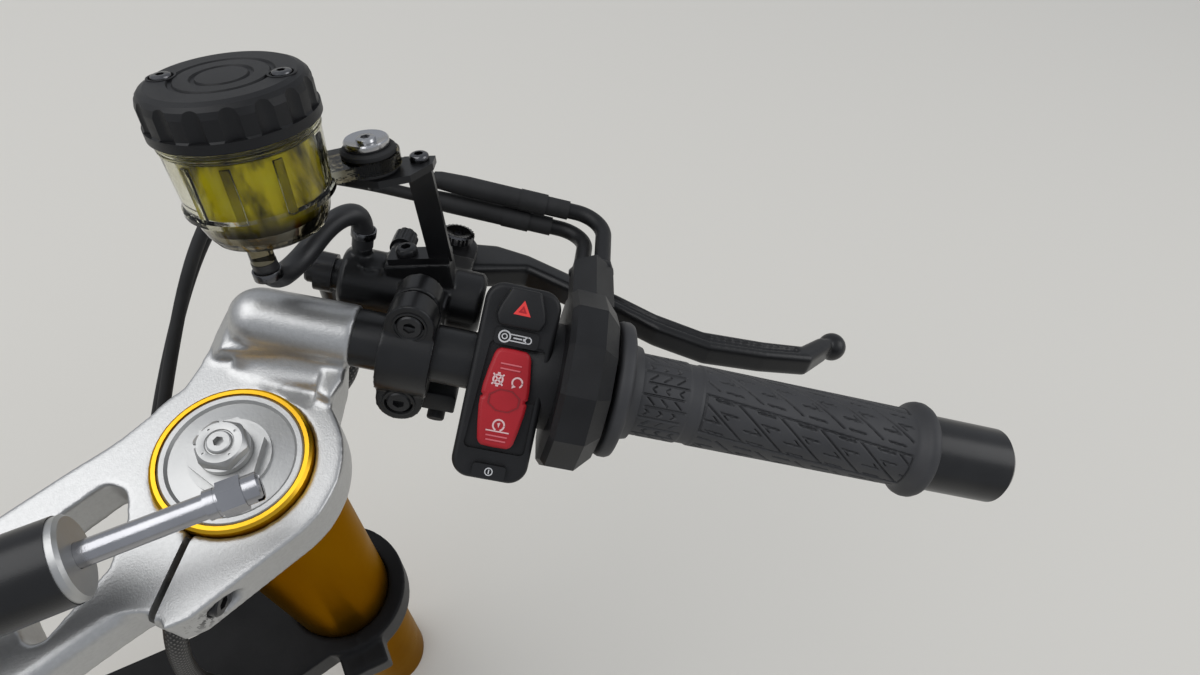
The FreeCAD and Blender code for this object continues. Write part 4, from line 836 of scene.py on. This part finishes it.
def addPivotNut(word, side):
    nut = {"radius": 7.4, "notches": 24, "notchShare": 0.92, "low": 8, "high": 11.2, "place": (75, 0, 26),
           "steps": [(1.2, 0.4), (2.2, -0.9)], "socket": 1.9, "deep": 2.2}
    piece = discShape(nut["radius"], nut["notches"] * 2)
    closeEdit()
    for index, vertex in enumerate(piece.data.vertices):
        if index % 2:
            vertex.co *= nut["notchShare"]
    openEdit()
    lift(nut["low"])
    raiseFaces(nut["high"] - nut["low"])
    for inset, rise in nut["steps"]:
        bpy.ops.mesh.inset(thickness=inset / 1000)
        lift(rise)
    closeEdit()
    cutSocket(piece, nut["socket"], nut["high"] - nut["deep"])
    settle(piece, "pivotNut" + word, acrossBar(side, *nut["place"]), "bolt_black", "darkSteel")


# reservoir

def addReservoirDetail():
    shell = {"threads": [(-1.4, 23.9), (-3.2, 23.8)], "threadWidth": 0.9, "threadHalf": 0.5,
             "ridge": [(-0.7, -1.6), (0.3, -1.3), (0.6, 0), (0.3, 1.3), (-0.7, 1.6)], "ridgeRadius": 20.9,
             "ridgeLow": -24, "ridgeHigh": -6, "ridgeTurns": (-118, -84, -44, 8, 60, 128, 176)}
    for index, (level, radius) in enumerate(shell["threads"], start=1):
        half = shell["threadHalf"]
        ring = turnRing(radius - shell["threadWidth"], radius, level - half, level + half, 0.25)
        settle(ring, f"shellThread{index}", reservoirPlace(), "clear_plastic")
    outline = [(shell["ridgeRadius"] + x, y) for x, y in shell["ridge"]]
    for index, turn in enumerate(shell["ridgeTurns"], start=1):
        ridge = prismShape(outline, shell["ridgeLow"], shell["ridgeHigh"])
        softenEdges(ridge, 0.3)
        settle(ridge, f"shellRidge{index}", reservoirPlace() @ turned(turn), "clear_plastic")
    print("reservoir detailed")


# small fittings round the switches

def addFittings():
    hazard = {"outline": [(-5.4, 7), (5.4, 7), (8.2, 0), (9, -3.4), (7.6, -7), (-7.6, -7), (-9, -3.4), (-8.2, 0)],
              "height": 5.6, "edge": 1.1, "stand": 18.6, "drop": 24}
    wrap = [(15.2, 60), (20.6, 60.4), (21, 61), (21, 77.4), (20.4, 78), (15.2, 78.2)]
    collar = {"profile": [(4.9, -1), (5.3, -0.4), (5.3, 2.6), (4.8, 3.2)], "forward": 48, "up": 21, "along": 85.5,
              "upShift": 2.2, "alongShift": 4.2}
    switch = {"outline": [(-7, -5), (7, -5), (8, -3.6), (8, 4), (-8, 4), (-8, -3.6)], "low": 2, "high": 15,
              "edge": 0.7, "place": (0, -27, 33), "turn": 90}
    plug = {"profile": [(3.2, -6), (3.6, -5.4), (3.6, 1), (2.6, 1.6)], "place": (8, -33, 34), "turn": 35}
    piece = prismShape(hazard["outline"], 0, hazard["height"])
    softenEdges(piece, hazard["edge"], 3)
    place = facingRider(1, hazard["stand"], hazard["drop"], switchesAlong)
    settle(piece, "hazardCap", place, "black_plastic", angle=40)
    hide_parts("hazard_button")
    settle(turnShape(wrap, 64), "podCollar", alongBar(1), "black_plastic")
    for word, way in (("Pull", 1), ("Return", -1)):
        piece = turnShape(collar["profile"], 6)
        softenEdges(piece, 0.3)
        place = aheadOfBar(1, collar["forward"], collar["up"] + collar["upShift"] * way,
                           collar["along"] + collar["alongShift"] * way)
        settle(piece, "cableCollar" + word, place, "black_plastic", angle=30)
    piece = prismShape(switch["outline"], switch["low"], switch["high"])
    softenEdges(piece, switch["edge"])
    place = aheadOfBar(1, *switch["place"]) @ turned(switch["turn"])
    settle(piece, "brakeSwitch", place, "black_plastic", angle=40)
    place = aheadOfBar(1, *plug["place"]) @ turned(plug["turn"], "Y")
    settle(turnShape(plug["profile"], 32), "brakeSwitchPlug", place, "black_rubber")
    print("fittings set")


# cast and forged forms with softened edges

def prismShape(points, low, high):
    # a flat outline in mm, given a height
    piece = discShape(10, len(points))
    closeEdit()
    for vertex, (x, y) in zip(piece.data.vertices, points):
        vertex.co = (x / 1000, y / 1000, low / 1000)
    openEdit()
    raiseFaces(high - low)
    bpy.ops.mesh.select_all(action="SELECT")
    bpy.ops.mesh.normals_make_consistent(inside=False)
    closeEdit()
    return piece


def placedPrism(outline, low, high, place):
    shape = prismShape(outline, low, high)
    shape.data.transform(place)
    return shape


def skinOver(values, fillers=(), cuts=(), slits=()):
    # a copy of the CAD solid, joined with its fillets, with its edges worn round
    values = {"slot": "black_casting", "finish": None, "body": "steering", **values}
    piece = addObject(values["name"], nodes[values["node"]].data.copy())
    chooseOnly(piece)
    openEdit()
    bpy.ops.mesh.remove_doubles(threshold=0.000005)
    closeEdit()
    cutAway(piece, cuts)
    for filler in fillers:
        filler.select_set(True)
    if fillers:
        bpy.ops.object.join()
    remesh = piece.modifiers.new("skin", "REMESH")
    remesh.mode = "VOXEL"
    remesh.voxel_size = values["voxel"] / 1000
    bpy.ops.object.modifier_apply(modifier="skin")
    smooth = piece.modifiers.new("wear", "SMOOTH")
    smooth.factor = 0.5
    smooth.iterations = values["rounding"]
    bpy.ops.object.modifier_apply(modifier="wear")
    cutAway(piece, slits)
    settle(piece, values["name"], Matrix.Identity(4), values["slot"], values["finish"], values["body"], 60)
    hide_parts(values["node"])
    print("skin over", values["node"], len(piece.data.polygons))


def bossFillers(side):
    # fillets where the bar's boss grows out of the yoke, behind it, before it and round its nose
    start = Vector((side * 0.1526, 0.0577, 0))
    outward = Vector((side * 0.8462, -0.5329, 0))
    level = Vector((side * 0.5329, 0.8462, 0))
    place = axesAt(start, level * side, Vector((0, 0, 1)), outward)
    fillets = [
        ([(-7, 10), (-11, 7), (-15, 2.6), (-19.5, 0.2), (-19.5, -3), (-7, -3)], -37, -2),
        ([(7, 10), (11, 7), (14.5, 2.6), (17, 0.2), (17, -3), (7, -3)], -37, -2),
        ([(-9, 12), (9, 12), (12, 7), (15, 1), (15, -3), (-17, -3), (-17, 1), (-12, 7)], -42, -36),
        ([(-6, 6), (6, 6), (10, 0.5), (10, -3), (-11, -3), (-11, 0.5)], -45, -42),
    ]
    return [placedPrism([(x * side, y) for x, y in outline], low, high, place) for outline, low, high in fillets]


def slopeCut(side):
    # the flank that runs down from the nose of the boss to the arm
    flank = {"start": (0.108, 0.072), "way": (0.447, 0.894), "reach": (-16, 30),
             "outline": [(-1, 10.2), (7.5, 0.3), (34, 0.3), (34, 15), (-1, 15)]}
    (startX, startY), (wayX, wayY) = flank["start"], flank["way"]
    along, inward = Vector((side * wayX, wayY, 0)), Vector((side * -wayY, wayX, 0))
    place = axesAt(Vector((side * startX, startY, 0)), inward * side, Vector((0, 0, 1)), along)
    return placedPrism([(x * side, y) for x, y in flank["outline"]], *flank["reach"], place)


def slitShape(side, width, reach, low, high):
    # a block along the slit of the fork's clamp
    start, stop = reach
    half = width / 2
    along = Vector((side * -0.6, -0.8, 0))
    place = axesAt(Vector((side * 0.0955, 0.03, 0)), along, Vector((0.8, side * -0.6, 0)), Vector((0, 0, side * 1)))
    levels = sorted((low * side, high * side))
    return placedPrism([(start, -half), (stop, -half), (stop, half), (start, half)], *levels, place)


def clampFillers(side):
    # the square pads that the clamp's bolts sit in
    near, far, start, stop = -11.4, -0.6, 11.3, 29.1
    shapes = []
    for low, high in ((8, 18), (-18, -8)):
        outline = [(near, low * side), (far, low * side), (far, high * side), (near, high * side)]
        shapes.append(placedPrism(outline, start, stop, alongBar(side)))
    return shapes


def addSkins():
    # voxel is in mm, and rounding counts the steps of wear
    yoke = {"name": "yokeCasting", "node": "top_yoke", "slot": "cast_silver", "voxel": 0.95, "rounding": 13}
    others = [
        {"name": "lowerYokeCasting", "node": "lower_yoke", "finish": "lowerCasting", "voxel": 1.3, "rounding": 5},
        {"name": "brakeLeverForging", "node": "brake_lever", "body": "brake_lever_body", "voxel": 0.6, "rounding": 14},
        {"name": "clutchLeverForging", "node": "clutch_lever", "body": "clutch_lever_body", "voxel": 0.6,
         "rounding": 14},
        {"name": "brakeMasterCasting", "node": "brake_master", "voxel": 0.65, "rounding": 7},
        {"name": "clutchPerchCasting", "node": "clutch_perch", "voxel": 0.65, "rounding": 7},
    ]
    cover = {"voxel": 0.5, "rounding": 7, "boltUp": 18, "rim": (5.4, 6.3, -0.3, 0.5, 0.25), "rimAt": (-11.5, 20.2)}
    slitFillers = [slitShape(side, 2.2, (27.5, 58), -19, -0.1) for side in (1, -1)]
    slitCuts = [slitShape(side, 2.4, (25, 64), -40, 4) for side in (1, -1)]
    skinOver(yoke, bossFillers(1) + bossFillers(-1) + slitFillers, [slopeCut(1), slopeCut(-1)], slitCuts)
    for values in others:
        skinOver(values)
    for word, side in (("Right", 1), ("Left", -1)):
        skinOver({**cover, "name": "clampCover" + word, "node": "clamp_cover_" + word.lower()}, clampFillers(side))
        ahead, above, outward = barAxes(side)
        forward, along = cover["rimAt"]
        for level, way in (("Upper", 1), ("Lower", -1)):
            rim = turnRing(*cover["rim"])
            place = axesAt(barPoint(side, forward, cover["boltUp"] * way, along), outward * side, above, -ahead)
            settle(rim, "boltRim" + level + word, place, "black_casting")
    print("castings skinned")


def addAdjusters():
    # the round knobs on the fork caps, with six flats, a ring, a socket and small marks
    knob = {"across": 100, "place": (30, 9.6), "sides": 72, "top": 7.6, "socket": 1.8, "deep": 1.6,
            "flats": (10.5, 20, 3.2, 12, 0.05, 6), "edge": 0.2,
            "profile": [(8.3, 0), (8.8, 0.5), (8.8, 2.6), (8.8, 6.3), (7.2, 7.6), (4.7, 7.6), (4.5, 7.1), (4.1, 7.1),
                        (3.9, 8.2), (3.5, 8.5)],
            "marks": [{"turns": (20, 110, 200, 290), "reach": 5.9, "radius": 0.45, "deep": 0.4, "sides": 12},
                      {"turns": (75, 130, 165), "reach": 7.9, "radius": 0.9, "deep": 1.4, "sides": 16}]}
    for word, side in (("Right", 1), ("Left", -1)):
        piece = turnShape(knob["profile"], knob["sides"])
        cutAway(piece, [turnRing(*knob["flats"])])
        softenEdges(piece, knob["edge"])
        cutSocket(piece, knob["socket"], knob["top"] - knob["deep"])
        for marks in knob["marks"]:
            for turn in marks["turns"]:
                angle = math.radians(turn)
                spot = (marks["reach"] * math.cos(angle), marks["reach"] * math.sin(angle))
                cutSocket(piece, marks["radius"], knob["top"] - marks["deep"], marks["sides"], spot)
        settle(piece, "adjusterKnob" + word, shifted(side * knob["across"], *knob["place"]), "machined_silver")
        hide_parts("fork_adjuster_" + word.lower())
    print("adjusters turned")


def addRocker():
    # the red rocker: barrel-sided, crowned, with a notch at each side
    rocker = {"half": [(0, 18), (4.6, 17.8), (5.9, 17), (6.6, 15.6), (7.6, 10), (8.4, 4), (8.5, 0.8), (7.7, 0.3),
                       (7.7, -0.3), (8.5, -0.8), (8.4, -4), (7.6, -10), (6.6, -15.6), (5.9, -17), (4.6, -17.8),
                       (0, -18)], "height": 4.2, "crownInset": 1.1, "crownRise": 0.8, "edge": 0.5,
              "stand": 18.5, "drop": -9}
    outline = rocker["half"] + [(-x, y) for x, y in reversed(rocker["half"][1:-1])]
    piece = prismShape(outline, 0, rocker["height"])
    topLevel = rocker["height"] / 1000
    openEdit()
    selectFaces(piece, lambda centre, normal: normal.z > 0.9 and centre.z > topLevel * 0.9)
    bpy.ops.mesh.inset(thickness=rocker["crownInset"] / 1000)
    lift(rocker["crownRise"])
    closeEdit()
    softenEdges(piece, rocker["edge"], 3, 20)
    place = facingRider(1, rocker["stand"], rocker["drop"], switchesAlong)
    settle(piece, "rockerCap", place, "red_plastic", angle=40)
    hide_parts("kill_rocker")
    print("rocker shaped")


# marks on the switches

def addSwitchMarks():
    # how far each one stands before the bar's axis and how far up the switches it lies, in mm
    spots = {
        "hazardSign": (24.2, 24), "hazardSignInner": (24.36, 24), "keySign": (21, 13), "stopRunSign": (23.5, -2.4),
        "startSign": (23.5, -18.6), "rockerRibs": (23.5, -9), "rockerOctagon": (23.5, -9.6),
        "heatButtonFrame": (22.5, -36), "signalArrows": (26, -14), "hornSign": (22, -28), "menuSign": (22.5, 8),
    }

    def put(name, shapes, finish="signGrey", slotName="black_plastic", side=1, thickness=0.16):
        settle(joinFlat(shapes, thickness), name, facingRider(side, *spots[name], switchesAlong), slotName, finish)

    put("hazardSign", [flatPolygon(0, -0.6, 3.6, 3)], "signRed")
    put("hazardSignInner", [flatRing(0, -0.6, 1.7, 1.1, sides=3)], "redPlastic")
    key = [flatRing(-4.4, 0, 2.3, 1.75), flatRing(-4.4, 0, 1.1, 0.7),
           flatBar(0.9, 1.15, 6.6, 0.42), flatBar(0.9, -1.15, 6.6, 0.42),
           flatRing(4.2, 0, 1.36, 0.94, sides=24), flatBar(0.4, 0, 3.2, 0.5), flatBar(2.6, 0, 0.5, 1.0)]
    put("keySign", key)
    stop = [flatRing(-3.6, 0, 2.0, 1.35), flatBar(-3.6, 0, 5.6, 0.6, 45), flatBar(-3.6, 0, 5.6, 0.6, -45),
            flatBar(-3.6, 2.2, 1.0, 0.8), flatBar(-3.6, -2.2, 1.0, 0.8)]
    run = [flatRing(3.4, 0, 2.1, 1.5, (0, 230)), flatRing(3.4, 0, 2.1, 1.5, (300, 360)),
           flatPolygon(2.2, -1.5, 0.95, 3, 150)]
    put("stopRunSign", stop + run, "signPink")
    start = [flatRing(0, 0, 2.3, 1.7, (0, 250)), flatRing(0, 0, 2.3, 1.7, (290, 360)),
             flatPolygon(0, 0.2, 1.0, 3, 190, (0.6, 1.2)), flatBar(0, -2.3, 8.4, 0.45)]
    put("startSign", start, "signPink")
    bars = [flatBar(0, drop, width, 0.5) for drop, width in ((12.6, 7.6), (10.8, 7.2), (-13.6, 7.8), (-15.2, 7.2))]
    put("rockerRibs", bars, "signPinkDim", "red_plastic", thickness=0.35)
    octagon = flatRing(0, 0, 5.3, 4.85, sides=8)
    octagon.data.transform(Matrix.Diagonal((1.15, 0.82, 1, 1)) @ turned(22.5))
    put("rockerOctagon", [octagon], "redShadow", "red_plastic", thickness=0.25)
    put("heatButtonFrame", [flatRing(0, 0, 1.5, 1.15), flatBar(0, 0, 0.4, 1.6)])
    put("signalArrows", [flatPolygon(-4, 0, 1.7, 3, 90), flatPolygon(4, 0, 1.7, 3, -90)], side=-1)
    horn = [flatPolygon(-1.2, 0, 2.0, 3, 90), flatBar(-2.6, 0, 1.4, 1.4), flatRing(-0.6, 0, 3.0, 2.6, (320, 360)),
            flatRing(-0.6, 0, 3.0, 2.6, (0, 40))]
    put("hornSign", horn, side=-1)
    menu = [flatPolygon(0, 5.6, 1.4, 3), flatPolygon(0, -5.6, 1.4, 3, 180), flatPolygon(-5.6, 0, 1.4, 3, 90),
            flatPolygon(5.6, 0, 1.4, 3, -90), flatRing(0, 0, 2.6, 2.2)]
    put("menuSign", menu, side=-1)
    print("switch marks laid")


def addStage():
    # the floor lies at the lower ends of the fork tubes
    values = {"level": -0.4302, "size": 16, "colour": (0.70, 0.675, 0.62, 1), "roughness": 0.9}
    deselectAll()
    bpy.ops.mesh.primitive_plane_add(size=values["size"], location=(0, 0, values["level"]))
    floor = bpy.context.object
    floor.name = "floor"
    material, tree, shader = newMaterial("floorPaint")
    shader.inputs["Base Color"].default_value = values["colour"]
    shader.inputs["Roughness"].default_value = values["roughness"]
    floor.data.materials.append(material)
    print("floor laid")


def addLights():
    lamps = {
        "skyPanel": {"place": (-0.7, 0.5, 1.6), "aim": (0.15, 0.05, 0), "size": 1.8, "power": 20},
        "sidePanel": {"place": (1.6, -0.6, 1.0), "aim": (0.1, 0, 0), "size": 1.2, "power": 8},
    }
    for name, values in lamps.items():
        data = bpy.data.lights.new(name, "AREA")
        data.shape = "SQUARE"
        data.size = values["size"]
        data.energy = values["power"]
        lamp = addObject(name, data)
        aim = Vector(values["aim"]) - Vector(values["place"])
        lamp.matrix_world = Matrix.Translation(values["place"]) @ aim.to_track_quat("-Z", "Y").to_matrix().to_4x4()
    sky = {"Color": (0.86, 0.9, 0.97, 1), "Strength": 0.56}
    world = bpy.data.worlds.new("studio")
    world.use_nodes = True
    for socketName, value in sky.items():
        world.node_tree.nodes["Background"].inputs[socketName].default_value = value
    bpy.context.scene.world = world
    bpy.context.scene.view_settings.view_transform = "Standard"
    print("lights hung")


def main():
    addCamera()
    makeMaterials()
    dressNodes()
    addStage()
    addLights()
    addGrips()
    addHoses()
    addScrews()
    addReservoirDetail()
    addFittings()
    addSkins()
    addAdjusters()
    addRocker()
    addSwitchMarks()


main()
